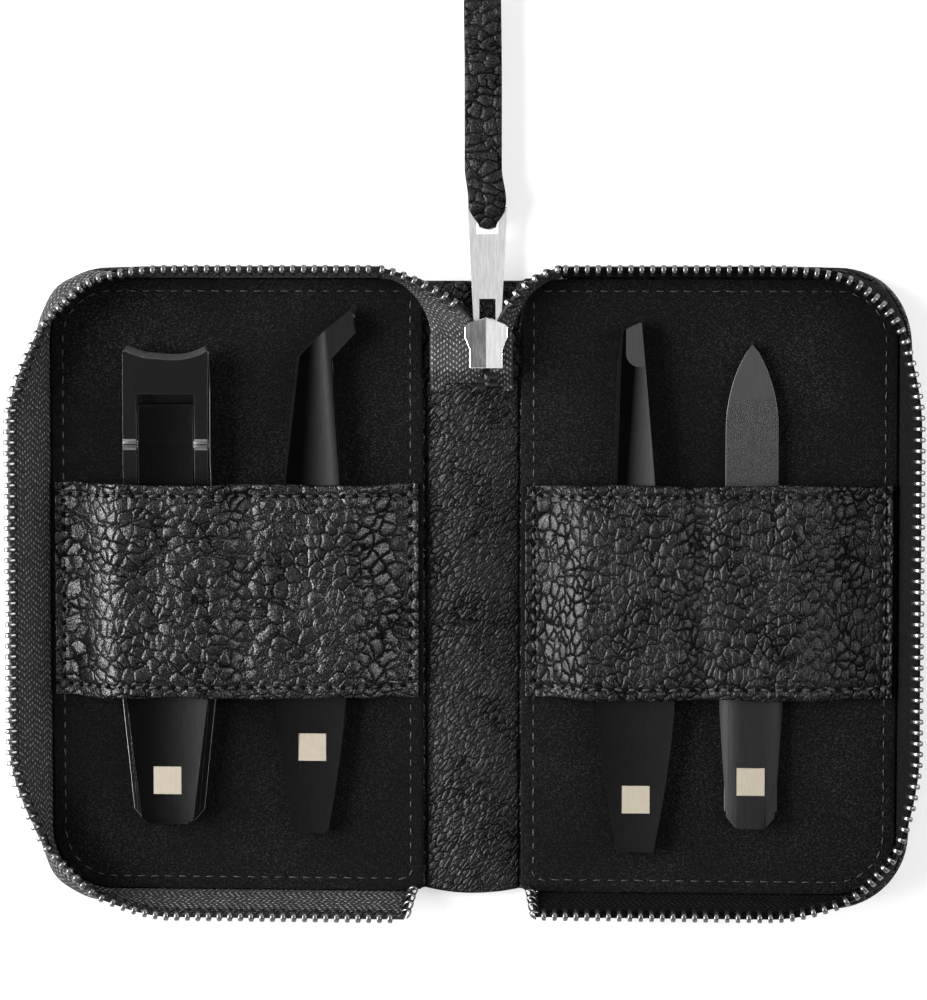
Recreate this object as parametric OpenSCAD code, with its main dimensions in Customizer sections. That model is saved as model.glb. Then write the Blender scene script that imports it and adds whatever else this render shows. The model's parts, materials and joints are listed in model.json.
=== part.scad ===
// Zipped leather manicure case, opened flat, with a clipper, two tweezers and a file.
// X runs across the spine, Y along it, Z up out of the open trays. Millimetres.

/* [Case] */
// Half width of one lining, from the spine centre to its outer edge
edge_x = 76; // [66:0.5:90]
// Half height of the lining
edge_y = 55.2; // [53:0.1:66]
// Half length of the spine leather
spine_end = 54.8; // [53:0.1:66]
// Outer corner radius of the lining
corner_r = 11; // [6:0.5:16]
// Distance of each fold line from the spine centre
fold_x = 8.8; // [8.8:0.1:12]
// Height of the fold lines
fold_z = 1.6; // [1.6:0.1:2]
// Thickness of the outer leather
leather_t = 1.2; // [0.8:0.1:1.4]
// Thickness of the stiffening board
board_t = 0.8; // [0.5:0.1:1]
// Thickness of the suede lining
lining_t = 0.6; // [0.4:0.1:0.8]
// How far the lining reaches past the fold line towards the spine
lining_lap = 0.25; // [0:0.05:0.3]
// Slit between the spine leather and each cover leather
fold_slit = 0.4; // [0.2:0.1:1]
// Distance of the inner leather strip's edges from the fold lines
strip_inset = 1.4; // [1.4:0.1:2.5]
// Thickness of the inner leather strip on the spine
strip_t = 0.8; // [0.5:0.1:0.8]
// Height to which the leather edge wall rises
gusset_top = 5; // [3.5:0.1:6]
// Play between neighbouring layers at the edge
edge_play = 0.1; // [0.05:0.05:0.2]
// Radius of each cover leather's corners beside the spine
cover_r = 0.8; // [0.5:0.1:2]
// Radius of each lining's corners beside the spine
lining_r = 1.5; // [0.5:0.1:3]

/* [Zip] */
// Spacing of the teeth along one row
pitch = 1.92; // [1.6:0.02:2.4]
// Thickness of a tooth along the row
tooth_t = 0.9; // [0.7:0.02:0.92]
// Width of a tooth across the tape
tooth_w = 2; // [1.6:0.1:2.6]
// Height of a tooth head above the tape edge
head_h = 1; // [0.6:0.1:1.2]
// Length of the legs that clamp the tape
leg_h = 1.3; // [0.8:0.1:1.8]
// Thickness of the woven tape
tape_t = 0.5; // [0.3:0.1:0.7]
// Outward lean of the tape edge halfway down the side
lean_side = 4.7; // [2:0.1:7]
// Outward lean along the top edge
lean_top = 1.4; // [1:0.1:6]
// Outward lean along the bottom edge
lean_bottom = 2.1; // [1:0.1:6]
// Distance over which the side lean grows from a corner
ease_side = 30; // [15:1:38]
// Distance over which the top and bottom leans grow from a corner
ease_end = 20; // [10:1:30]
// Distance from the fold line to the start of the stiff top tape
zip_top_gap = 7.2; // [4:0.1:10]
// Distance from the fold line to the end of the stiff bottom tape
zip_bottom_gap = 3; // [0.8:0.1:6]
// Play between a tooth's legs and the tape
tooth_play = 0.06; // [0.02:0.01:0.1]

/* [Slider] */
// Sideways place of the closed chain on the spine
chain_x = 2.8; // [0:0.1:3]
// Height of the middle of the closed chain
chain_z = 5.7; // [5.7:0.1:6.4]
// Distance of the seam where the tape ends meet the spine, from the spine's top end
seam_back = 19.6; // [18:0.1:22]
// Length of that seam
seam_l = 0.8; // [0.6:0.1:1.5]
// Distance from the start of that seam to the slider's blunt rear end
slider_gap = 4.2; // [3.8:0.1:6]
// Length of the slider
slider_l = 9; // [8:0.1:11]
// Width of the slider across its shoulders
slider_w = 7.6; // [7:0.1:8]
// Width of the slider at its rear end
slider_rear_w = 5.8; // [5.4:0.1:6.4]
// Height of the channel inside the slider
channel_h = 2.3; // [2.2:0.1:2.6]
// Thickness of each slider plate
plate_t = 0.8; // [0.6:0.1:1]
// Play between the slider and the tape and teeth that run through it
slider_play = 0.3; // [0.3:0.05:0.4]
// Height of the crease along the middle of the slider
crease_h = 0.35; // [0.1:0.05:0.6]
// Thickness of the bridge that holds the puller
bridge_t = 0.7; // [0.5:0.05:0.9]
// Width of that bridge
bridge_w = 1.8; // [1.4:0.1:2.4]
// Radius of the puller's round bars
bar_r = 0.6; // [0.4:0.05:0.7]
// Running play round the bars
bar_play = 0.08; // [0.04:0.01:0.1]
// Distance from the slider's rear end to the bar that hangs in its bridge
bridge_back = 7.2; // [6.8:0.1:7.4]
// Distance between the two bars of the puller
puller_l = 21.2; // [18:0.1:24]
// Puller width at the slider
puller_w0 = 4.9; // [4.6:0.1:5.6]
// Puller width at the strap eye
puller_w1 = 7; // [6.4:0.1:8]
// Thickness of the puller plate
puller_t = 1.2; // [0.8:0.1:1.2]
// Width of the strap eye
eye_w = 4; // [3.4:0.1:4.4]
// Length of the strap eye
eye_l = 4.7; // [4:0.1:5.5]
// Width of the slot beside the slider
slot_w = 2.9; // [2.6:0.1:3.2]
// Length of that slot
slot_l = 5; // [4:0.1:7]
// Leather thickness of the strap
strap_t = 1.3; // [0.8:0.1:1.4]
// Width of the strap
strap_w = 6.6; // [5:0.1:8]
// Length of the strap from its bar to the tip
strap_l = 38; // [25:0.5:60]

/* [Tool bands] */
// Lower edge of both bands
band_y0 = -19.8; // [-24:0.2:-16]
// Upper edge of both bands
band_y1 = 18.5; // [15:0.2:22]
// Distance of the bands' inner ends from the fold lines
band_inner = 0.8; // [0.7:0.1:2]
// Distance of the bands' outer ends from the lining's outer edge
band_outer = 0.8; // [0.5:0.1:2]
// Leather thickness of the bands
band_t = 1; // [0.8:0.1:1.2]
// Width of the sewn foot at each end of a band
band_foot = 2.6; // [2:0.1:4]
// Play between a tool and the band over it
band_play = 0.4; // [0.3:0.05:1]
// Room over the clipper for its lever to lift
lever_lift = 1.2; // [1:0.1:2]

/* [Clipper] */
// Centre of the clipper across the case
clip_x = -54.6; // [-58:0.2:-50]
// Front tip of the clipper
clip_y1 = 43.2; // [40:0.2:45]
// Overall length of the clipper
clip_l = 86; // [76:0.5:88]
// Width of the jaws
clip_jaw_w = 15.3; // [13:0.1:17]
// Greatest width of the base leaf
clip_base_w = 17.1; // [15.5:0.1:18]
// Width of the base leaf at its tail
clip_tail_w = 12.8; // [11:0.1:15]
// Thickness of each leaf
leaf_t = 1.2; // [0.9:0.1:1.3]
// Width of the lever inside the window
lever_w = 9.8; // [8:0.1:10.4]
// Greatest width of the lever behind the window
lever_w1 = 14.8; // [12:0.1:15.4]
// Width of the lever at its tail
lever_tail_w = 8.6; // [7:0.1:11]
// Thickness of the lever
lever_t = 1.3; // [1:0.1:1.5]
// Side play of the lever in the window
window_play = 0.3; // [0.2:0.05:0.6]
// Distance of the axle behind the front tip
axle_back = 17.6; // [15:0.2:20]
// Radius of the axle
axle_r = 0.9; // [0.6:0.05:1]
// Running play of the lever on its axle
axle_play = 0.05; // [0.03:0.01:0.1]
// Height of the upper leaf's underside over the clipper's base
leaf_rise = 3.3; // [3:0.1:3.6]
// Gap under the lever at its tail, over the two leaves
lever_gap = 0.15; // [0.1:0.05:0.4]
// Radius of the rail humps that hold the axle
hump_r = 1.7; // [1.6:0.05:1.9]
// Distance from the front tip to the window
window_back = 8.6; // [7:0.1:9.5]
// Distance from the front tip to where both leaves lie together
leaf_meet = 36; // [32:0.5:40]
// Gap between the cutting edges
jaw_gap = 0.25; // [0.1:0.05:0.5]
// Radius of the concave cutting edge
edge_r = 12.7; // [11:0.1:20]
// Depth of the concave cutting edge
edge_sag = 2.1; // [1:0.1:2.6]
// Width of the bevel along the cutting edge
edge_bevel = 1; // [0.5:0.1:1.5]
// Radius of the rivet at the tail
rivet_r = 1.3; // [1:0.1:1.6]

/* [Tweezers and file] */
// Centre of the angled tweezers
angled_x = -28.9; // [-32:0.2:-26]
// Length of the angled tweezers
angled_l = 94.8; // [88:0.5:96]
// Front tip of the angled tweezers
angled_y1 = 50.3; // [47:0.1:51]
// Greatest handle width of the angled tweezers
angled_w = 13.1; // [11:0.1:15]
// Sideways reach of the bent tip
angled_reach = 8; // [5:0.1:10]
// Centre of the slant tweezers
slant_x = 29.4; // [26:0.2:32]
// Length of the slant tweezers
slant_l = 95; // [88:0.5:96]
// Front tip of the slant tweezers
slant_y1 = 47.6; // [45:0.1:49]
// Greatest handle width of the slant tweezers
slant_w = 14; // [12:0.1:15]
// Thickness of a tweezer arm
arm_t = 1.1; // [0.8:0.1:1.3]
// Sideways offset of the rear arm under the front arm
arm_shift = 0.7; // [0:0.1:1]
// Length of the flat tail where two arms are joined
arm_joint = 6.5; // [5:0.1:9]
// Greatest gap between two tweezer arms
arm_spread = 1.7; // [1.5:0.1:2]
// How far each arm bends towards the other at the tips
tip_close = 0.45; // [0.3:0.05:0.6]
// Thickness of an arm at its tip
tip_t = 0.7; // [0.5:0.05:0.9]
// Centre of the file
file_x = 50; // [47:0.2:54]
// Point of the file
file_y1 = 43.6; // [41:0.1:45]
// Length of the file
file_l = 86.6; // [78:0.5:87.5]
// Width of the file blade
file_w = 9.4; // [8:0.1:11]
// Greatest width of the file handle
file_handle_w = 11.2; // [10:0.1:13]
// Thickness of the file blade
file_t = 1.3; // [1:0.1:1.6]
// Height of the convex file handle over the blade
file_crown = 1.3; // [0.8:0.1:1.6]
// Thickness of the grit coat
grit_t = 0.15; // [0.1:0.05:0.3]
// Distance from the file's point to the grit
grit_back = 9.9; // [8:0.1:14]
// Length over which the blade narrows to its point
file_arch = 15.3; // [12:0.1:18]
// Distance from the file's point to its handle
handle_back = 40; // [36:0.5:44]
// Play between the lining and a tool that rests on it
tool_play = 0.3; // [0.2:0.05:0.5]
// Side of the plain square inlays
inlay_w = 5; // [4:0.1:6]
// Depth of the inlays
inlay_t = 0.3; // [0.2:0.05:0.4]

/* [Hidden] */

$fn = 48;
eps = 0.01;

// Heights of the layers of a cover
board_z = leather_t;
lining_z = board_z + board_t;
lining_top = lining_z + lining_t;
tool_z = lining_top + tool_play;
// Heights over the clipper's base of its upper leaf and its lever, where both leaves lie together
leaf_rest = leaf_t + 0.05;
lever_rest = leaf_rest + leaf_t + lever_gap;
// Height at which both rows of teeth meet when the covers are closed
mid_z = fold_x + fold_z;
tape_top = mid_z - head_h / 2 - 0.1;
// Outer faces of the wall at the foot of the tape
wall_in = tape_t + edge_play;
wall_out = wall_in + leather_t;
strip_half = fold_x - strip_inset;
zip_top_x = fold_x + zip_top_gap;
zip_bottom_x = fold_x + zip_bottom_gap;
band_x0 = fold_x + band_inner;
band_x1 = edge_x - band_outer;

leather_black = "#1c1c1d";
suede_black = "#0d0d0d";
tape_black = "#202022";
nickel = "#c8c8c6";
tool_black = "#17171a";
champagne = "#b9a888";

function ease(u) = let (v = min(max(u, 0), 1)) v * v * (3 - 2 * v);
function mix(a, b, u) = a + (b - a) * u;

// Length of the parts of a cover's outline, from the top of the spine round to its bottom
top_len = edge_x - corner_r - zip_top_x;
bend_len = corner_r * PI / 2;
side_len = 2 * (edge_y - corner_r);
bottom_len = edge_x - corner_r - zip_bottom_x;
rim_len = top_len + 2 * bend_len + side_len + bottom_len;
s_side = top_len + bend_len;
s_bend2 = s_side + side_len;
s_bottom = s_bend2 + bend_len;

// Point of the outline at the length s, with its outward direction as an angle
function rim_angle(s) =
    s < top_len ? 90 :
    s < s_side ? 90 - 90 * (s - top_len) / bend_len :
    s < s_bend2 ? 0 :
    s < s_bottom ? -90 * (s - s_bend2) / bend_len : -90;
function rim_point(s) =
    let (a = rim_angle(s), cx = edge_x - corner_r, cy = edge_y - corner_r)
    s < top_len ? [zip_top_x + s, edge_y] :
    s < s_side ? [cx + corner_r * cos(a), cy + corner_r * sin(a)] :
    s < s_bend2 ? [edge_x, cy - (s - s_side)] :
    s < s_bottom ? [cx + corner_r * cos(a), -cy + corner_r * sin(a)] :
    [cx - (s - s_bottom), -edge_y];
// Outward lean of the tape edge at the length s
function lean(s) =
    let (s1 = top_len + bend_len / 2, s2 = s_bend2 + bend_len / 2)
    s < s1 ? lean_top * ease((s1 - s) / ease_end) :
    s < s2 ? lean_side * ease(min(s - s1, s2 - s) / ease_side) :
    lean_bottom * ease((s - s2) / ease_end);
function out(s, d) = rim_point(s) + d * [cos(rim_angle(s)), sin(rim_angle(s))];
function row_point(s) = out(s, lean(s) + tape_t / 2);

// A strip that follows the outline: inner and outer offsets at its foot and at its top
module rim_sweep(z0, z1, play, t, share) {
    n = ceil(rim_len / (pitch * 0.75));
    ring = [for (i = [0:n]) let (s = rim_len * i / n, d = lean(s) * share) [
        concat(out(s, play), z0), concat(out(s, play + t), z0),
        concat(out(s, play + t + d), z1), concat(out(s, play + d), z1)
    ]];
    points = [for (r = ring) for (p = r) p];
    sides = [for (i = [0:n - 1]) for (k = [0:3])
        let (a = 4 * i + k, b = 4 * i + (k + 1) % 4) each [[a, b, b + 4], [a, b + 4, a + 4]]];
    ends = [[3, 2, 1, 0], [4 * n, 4 * n + 1, 4 * n + 2, 4 * n + 3]];
    polyhedron(points, concat(sides, ends));
}

// The modules below are drawn as the right cover; the left one is its mirror image
module side(s) mirror([s < 0 ? 1 : 0, 0, 0]) children();

module sheet(x0, grow, r_in) {
    r_out = corner_r + grow;
    x1 = edge_x + grow;
    y1 = edge_y + grow;
    arc = 12;
    polygon(concat(
        [for (i = [0:arc]) let (a = 90 * i / arc)
            [x1 - r_out + r_out * cos(a), y1 - r_out + r_out * sin(a)]],
        [for (i = [0:arc]) let (a = 90 + 90 * i / arc)
            [x0 + r_in + r_in * cos(a), y1 - r_in + r_in * sin(a)]],
        [for (i = [0:arc]) let (a = 180 + 90 * i / arc)
            [x0 + r_in + r_in * cos(a), -y1 + r_in + r_in * sin(a)]],
        [for (i = [0:arc]) let (a = 270 + 90 * i / arc)
            [x1 - r_out + r_out * cos(a), -y1 + r_out + r_out * sin(a)]]
    ));
}

module cover_leather(s) color(leather_black) side(s)
    linear_extrude(leather_t) sheet(fold_x + fold_slit / 2, wall_out, cover_r);

module cover_board(s) color("#4a4038") side(s) translate([0, 0, board_z])
    linear_extrude(board_t) sheet(fold_x + fold_slit, -edge_play * 3, cover_r);

module cover_lining(s) color(suede_black) side(s) translate([0, 0, lining_z])
    linear_extrude(lining_t) sheet(fold_x - lining_lap, -edge_play, lining_r);

module cover_tape(s) color(tape_black) side(s) rim_sweep(leather_t, tape_top, 0, tape_t, 1);

module cover_wall(s) color(leather_black) side(s)
    rim_sweep(leather_t, gusset_top, wall_in, leather_t,
        (gusset_top - leather_t) / (tape_top - leather_t));

// Outline of one tooth: two legs over the tape edge and a blunt head
module tooth_outline() {
    w = tooth_w / 2;
    slot = tape_t / 2 + tooth_play;
    polygon([
        [-w, -leg_h], [-slot, -leg_h], [-slot, 0], [slot, 0], [slot, -leg_h], [w, -leg_h],
        [w, head_h * 0.3], [w * 0.5, head_h], [-w * 0.5, head_h], [-w, head_h * 0.3]
    ]);
}
module tooth(t = tooth_t)
    rotate([90, 0, 90]) translate([0, 0, -t / 2]) linear_extrude(t) tooth_outline();

// The left row starts half a pitch later, so that the two rows interleave when closed
module cover_teeth(s) color(nickel) side(s) {
    first = s < 0 ? pitch : pitch / 2;
    wall_h = tape_top - leather_t;
    for (i = [0:floor((rim_len - first - pitch / 2) / pitch)]) {
        at = first + i * pitch;
        ahead = row_point(at + pitch / 2) - row_point(at - pitch / 2);
        translate(concat(row_point(at), tape_top + 0.05))
            rotate([0, 0, atan2(ahead.y, ahead.x)])
            rotate([-atan2(lean(at), wall_h), 0, 0]) tooth();
    }
}

// Spine, end of the chain and the two free tape ends

strip_top = leather_t + strip_t;
seam_y = spine_end - seam_back;
slider_y = seam_y + slider_gap;
puller_y = slider_y + bridge_back;
tape_z = chain_z - tape_t / 2;
// Half of the gap in which the heads of the closed chain lock
chain_gap = head_h / 2 + 0.05;
slope_y0 = seam_y + seam_l;
slope_y1 = slider_y - 0.3;
slope = atan2(tape_z - strip_top, slope_y1 - slope_y0);
slope_len = (slope_y1 - slope_y0) / cos(slope);
slider_front = slider_y + slider_l;
// Inside the slider, where the two halves of the tape part in front of its divider
parting_y = slider_y + slider_l * 0.6 - 0.3;

module spine_leather() color(leather_black)
    linear_extrude(leather_t) square([2 * fold_x - fold_slit, 2 * spine_end], center = true);

module spine_strip() color(leather_black) translate([0, 0, leather_t]) linear_extrude(strip_t)
    translate([-strip_half, edge_play - spine_end])
        square([2 * strip_half, spine_end - edge_play + slope_y0 + 0.2]);

module spine_zip_tape() color(tape_black) difference() {
    translate([-strip_half, 0, 0]) rotate([90, 0, 90]) linear_extrude(2 * strip_half) polygon([
        [seam_y, strip_top], [slope_y0, strip_top], [slope_y1, tape_z], [parting_y, tape_z],
        [parting_y, tape_z + tape_t], [slope_y1 - tape_t / 2, tape_z + tape_t],
        [slope_y0 - tape_t / 2, strip_top + tape_t], [seam_y, strip_top + tape_t]
    ]);
    translate([chain_x - chain_gap, slope_y0, 0]) cube([2 * chain_gap, slider_l * 2, mid_z]);
}

// One pair of locked teeth, its first tooth on the left half
module chain_pair() {
    translate([-chain_gap, 0, 0]) rotate([90, 0, 90]) tooth();
    translate([chain_gap, pitch / 2, 0]) rotate([90, 0, -90]) tooth();
}
module closed_teeth() color(nickel) translate([chain_x, 0, 0]) {
    lift = tape_t / 2;
    translate([0, slope_y0 - lift * sin(slope), strip_top + lift * cos(slope)])
        rotate([slope, 0, 0])
            for (i = [0:1]) translate([0, slope_len * 0.2 + i * pitch, 0]) chain_pair();
    for (i = [0:1]) translate([0, slider_y + 1.1 + i * pitch, chain_z]) chain_pair();
}

function unit(v) = v / norm(v);
function bezier(p, t) =
    p[0] * pow(1 - t, 3) + 3 * p[1] * t * pow(1 - t, 2) + 3 * p[2] * t * t * (1 - t) + p[3] * pow(t, 3);

// The tape end from the slider to a cover: its toothed edge and its plain edge as two curves
module zip_end(s) color(tape_black) {
    tip = [s * chain_x + 0.95, parting_y + 0.4, chain_z];
    rim = concat(row_point(0) - [0.4, 0], tape_top);
    row = [tip, tip + [2.6, 3.8, 0], rim - [5.6, 1, 1.6], rim];
    edge_tip = [strip_half - 0.3, parting_y + 0.3, chain_z];
    edge_rim = [rim.x, edge_y + 0.3, lining_top + 1];
    edge = [edge_tip, edge_tip + [0.4, 4.6, 0], edge_rim - [3, 0.8, -1.6], edge_rim];
    n = 14;
    points = [for (i = [0:n]) let (a = bezier(row, i / n), b = bezier(edge, i / n),
        across = unit(cross(bezier(row, i / n + 0.01) - a, a - b)) * tape_t / 2)
        each [a - across, b - across, b + across, a + across]];
    sides = [for (i = [0:n - 1]) for (k = [0:3])
        let (a = 4 * i + k, b = 4 * i + (k + 1) % 4) each [[a, b, b + 4], [a, b + 4, a + 4]]];
    ends = [[3, 2, 1, 0], [4 * n, 4 * n + 1, 4 * n + 2, 4 * n + 3]];
    side(s) {
        polyhedron(points, concat(sides, ends));
        count = 6;
        for (i = [0:count - 1]) {
            t = mix(0.42, 0.97, i / (count - 1));
            at = bezier(row, t);
            u = unit(bezier(row, t + 0.01) - at);
            v0 = at - bezier(edge, t);
            v = unit(v0 - (v0 * u) * u);
            w = cross(v, u);
            color(nickel) multmatrix([
                [u.x, w.x, v.x, at.x + v.x * 0.1], [u.y, w.y, v.y, at.y + v.y * 0.1],
                [u.z, w.z, v.z, at.z + v.z * 0.1], [0, 0, 0, 1]]) tooth();
        }
    }
}

// Slider, puller and strap

channel_z0 = chain_z - channel_h / 2;
channel_z1 = chain_z + channel_h / 2;
bar_z = channel_z0 - plate_t - bar_r - bar_play - 0.15;

// Slider outline, measured from the middle of its rear edge
module slider_outline() {
    a = slider_rear_w / 2;
    b = slider_w / 2;
    l = slider_l;
    polygon([
        [-a, 0], [a, 0], [a, l * 0.36], [a + (b - a) * 0.45, l * 0.47], [b, l * 0.6],
        [b, l * 0.8], [b * 0.88, l * 0.87], [0, l], [-b * 0.88, l * 0.87],
        [-b, l * 0.8], [-b, l * 0.6], [-a - (b - a) * 0.45, l * 0.47], [-a, l * 0.36]
    ]);
}
module slider_divider() {
    l = slider_l;
    polygon([[0, l * 0.6], [0.7, l * 0.76], [0.55, l * 1.1], [-0.55, l * 1.1], [-0.7, l * 0.76]]);
}
module slider_channel() {
    a = chain_gap + leg_h + slider_play;
    b = slider_w / 2 - 0.6;
    l = slider_l;
    difference() {
        polygon([
            [-a, -1], [a, -1], [a, l * 0.4], [b, l * 0.68], [b, l * 1.1],
            [-b, l * 1.1], [-b, l * 0.68], [-a, l * 0.4]
        ]);
        slider_divider();
    }
}
module slider_body() color(nickel) translate([chain_x, slider_y, 0]) {
    z0 = channel_z0 - plate_t;
    z1 = channel_z1 + plate_t;
    bar_y = bridge_back;
    bridge_l = 3.6;
    difference() {
        intersection() {
            translate([0, 0, z0]) linear_extrude(z1 - z0 + crease_h) slider_outline();
            rotate([90, 0, 180]) linear_extrude(slider_l) polygon([
                [-slider_w / 2, z0], [slider_w / 2, z0], [slider_w / 2, z1],
                [0, z1 + crease_h], [-slider_w / 2, z1]
            ]);
        }
        translate([0, 0, channel_z0]) linear_extrude(channel_h) slider_channel();
        translate([0, 0, tape_z - slider_play]) linear_extrude(tape_t + 2 * slider_play)
            difference() {
                translate([-slider_w, -1]) square([2 * slider_w, slider_l + 2]);
                slider_divider();
            }
    }
    // The bridge under the slider, in which the puller's bar turns
    difference() {
        translate([-bridge_w / 2, bar_y - bridge_l, bar_z - bar_r - bar_play - bridge_t])
            cube([bridge_w, bridge_l + bar_r + bar_play + bridge_t,
                z0 - bar_z + bar_r + bar_play + bridge_t]);
        translate([-bridge_w, bar_y, bar_z]) rotate([0, 90, 0])
            cylinder(h = 2 * bridge_w, r = bar_r + bar_play);
        translate([-bridge_w, bar_y - bridge_l + 1, bar_z - bar_r - bar_play])
            cube([2 * bridge_w, bridge_l - 1, 2 * (bar_r + bar_play)]);
    }
}

module puller() color(nickel) translate([chain_x, puller_y, bar_z]) {
    a = puller_w0 / 2;
    b = puller_w1 / 2;
    difference() {
        translate([0, 0, -puller_t / 2]) linear_extrude(puller_t)
            polygon([[-a, 0], [a, 0], [b, puller_l], [-b, puller_l]]);
        translate([-slot_w / 2, -1, -puller_t]) cube([slot_w, slot_l + 1, 2 * puller_t]);
        translate([-eye_w / 2, puller_l - eye_l, -puller_t]) cube([eye_w, eye_l + 1, 2 * puller_t]);
    }
    translate([-a, 0, 0]) rotate([0, 90, 0]) cylinder(h = 2 * a, r = bar_r);
    translate([-b, puller_l, 0]) rotate([0, 90, 0]) cylinder(h = 2 * b, r = bar_r);
}

module pull_strap() color(leather_black) translate([chain_x, puller_y + puller_l, bar_z]) {
    hole = bar_r + bar_play;
    neck = eye_w - 0.6;
    start = hole + 0.25;
    w = strap_w / 2;
    translate([-neck / 2, 0, 0]) rotate([90, 0, 90]) linear_extrude(neck) difference() {
        union() {
            circle(hole + strap_t);
            translate([0, -strap_t]) square([start + strap_t, 2 * strap_t]);
        }
        circle(hole);
    }
    translate([0, 0, -strap_t]) linear_extrude(2 * strap_t)
        polygon([[-w, start], [w, start], [w, strap_l], [-w, strap_l - 2.7]]);
}

// Tool bands

tweezer_top = tool_z + 2 * arm_t + arm_spread;
file_top = tool_z + file_t + file_crown;
clipper_top = tool_z + lever_rest + (leaf_rise - lever_rest) * 0.5 + lever_t;
arm_room = tweezer_top + band_play;
file_room = file_top + band_play + 0.6;
clipper_room = clipper_top + band_play + lever_lift;

// A smooth line through the points of a band's underside
function eased(pts, steps) = [
    for (i = [0:len(pts) - 2]) for (k = [0:steps - 1])
        [mix(pts[i].x, pts[i + 1].x, k / steps), mix(pts[i].y, pts[i + 1].y, ease(k / steps))],
    pts[len(pts) - 1]
];
module band_space(pts) polygon(concat(eased(pts, 8),
    [[band_x1 - band_foot, lining_z], [band_x0 + band_foot, lining_z]]));
module band(s, pts) color(leather_black) side(s)
    translate([0, band_y1, 0]) rotate([90, 0, 0]) linear_extrude(band_y1 - band_y0) union() {
        intersection() {
            difference() {
                offset(delta = band_t) band_space(pts);
                band_space(pts);
            }
            translate([0, lining_top]) square([edge_x, 2 * mid_z]);
        }
        for (x = [band_x0, band_x1 - band_foot]) translate([x, lining_top])
            square([band_foot, band_t]);
    }
module left_band() band(-1, [
    [band_x0 + band_foot, lining_top],
    [-angled_x - angled_w / 2 - 0.5, arm_room], [-angled_x + angled_w / 2 + 0.8, arm_room + 0.2],
    [-clip_x - lever_w1 / 2 - 2, clipper_room], [-clip_x + lever_w1 / 2 + 0.6, clipper_room],
    [band_x1 - band_foot, lining_top]
]);
module right_band() band(1, [
    [band_x0 + band_foot, lining_top],
    [slant_x - slant_w / 2 - 0.6, arm_room], [slant_x + slant_w / 2 + 0.6, arm_room],
    [file_x - file_handle_w / 2, file_room], [file_x + file_handle_w / 2 + 1, file_room],
    [band_x1 - band_foot, lining_top]
]);

// Clipper, measured backwards from the middle of its front edge

axle_z = tool_z + leaf_rise - 0.2;
leaf_drop = axle_back + 2.4;

module at_clipper() translate([clip_x, clip_y1, 0]) children();
// A side view drawn over the distance behind the tip and the height over the tool's base
module side_view(w) translate([w / 2, 0, tool_z]) rotate([90, 0, -90])
    linear_extrude(w) children();
module plan_view(h) translate([0, 0, tool_z - 0.1]) linear_extrude(h) children();
// A plan outline from its half widths at the listed distances behind the tip
module plan(pts) polygon(concat(
    [for (p = pts) [p.y, -p.x]], [for (i = [len(pts) - 1:-1:0]) [-pts[i].y, -pts[i].x]]));

module bite() translate([0, edge_r - edge_sag, -1])
    cylinder(h = 3 * mid_z, r = edge_r, $fn = 96);
function jaw_pts(mid, tail) = [
    [0, clip_jaw_w / 2 - 0.7], [1.3, clip_jaw_w / 2], [axle_back + 3, clip_jaw_w / 2],
    [clip_l * 0.5, mid], [clip_l * 0.73, mid], [clip_l - 2.4, tail], [clip_l - 0.5, tail - 1.6],
    [clip_l, tail - 3]
];

module clipper_base_leaf() color(tool_black) at_clipper() difference() {
    intersection() {
        plan_view(mid_z) plan(jaw_pts(clip_base_w / 2, clip_tail_w / 2));
        side_view(2 * clip_base_w) polygon(concat(
            [for (i = [0:8]) [i, jaw_rise * ease(1 - i / 8)]], [[clip_l, 0], [clip_l, leaf_t]],
            [for (i = [8:-1:0]) [i, leaf_t + jaw_rise * ease(1 - i / 8)]]));
    }
    bite();
    rivet_bore();
}
jaw_rise = leaf_rise - leaf_t - jaw_gap;
rivet_back = clip_l * 0.85;
module rivet_bore() translate([0, -rivet_back, tool_z - 1]) cylinder(h = 6, r = rivet_r + 0.02);

module clipper_upper_leaf() color(tool_black) at_clipper() difference() {
    union() {
        intersection() {
            plan_view(mid_z) plan(jaw_pts(clip_jaw_w / 2 - 0.1, clip_tail_w / 2 - 0.8));
            side_view(2 * clip_base_w) leaf_side();
        }
        for (k = [-1, 1]) translate([k * (clip_jaw_w / 2 - rail_w / 2 - 0.1) - rail_w / 2,
            -axle_back, axle_z]) rotate([0, 90, 0]) cylinder(h = rail_w, r = hump_r);
    }
    translate([-window_w / 2, -leaf_meet - 8, 0]) cube([window_w, leaf_meet + 8 - window_back, mid_z]);
    bite();
    translate([0, edge_r - edge_sag, tool_z + leaf_rise]) cylinder(h = leaf_t + eps,
        r1 = edge_r, r2 = edge_r + edge_bevel, $fn = 96);
    translate([-clip_jaw_w, -axle_back, axle_z]) rotate([0, 90, 0])
        cylinder(h = 2 * clip_jaw_w, r = axle_r + 0.02);
    rivet_bore();
}
window_w = lever_w + 2 * window_play;
rail_w = (clip_jaw_w - window_w) / 2 - 0.1;
function leaf_z(y) = mix(leaf_rise, leaf_rest, ease((y - leaf_drop) / (leaf_meet - leaf_drop)));
module leaf_side() {
    ys = concat([0], [for (i = [0:8]) mix(leaf_drop, leaf_meet, i / 8)], [clip_l]);
    polygon(concat([for (y = ys) [y, leaf_z(y)]],
        [for (i = [len(ys) - 1:-1:0]) [ys[i], leaf_z(ys[i]) + leaf_t]]));
}

module clipper_axle() color(nickel) at_clipper()
    translate([0.3 - clip_jaw_w / 2, -axle_back, axle_z]) rotate([0, 90, 0])
        cylinder(h = clip_jaw_w - 0.6, r = axle_r);

module clipper_rivet() color(tool_black) at_clipper()
    translate([0, -rivet_back, tool_z]) cylinder(h = leaf_rest + leaf_t, r = rivet_r);

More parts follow.
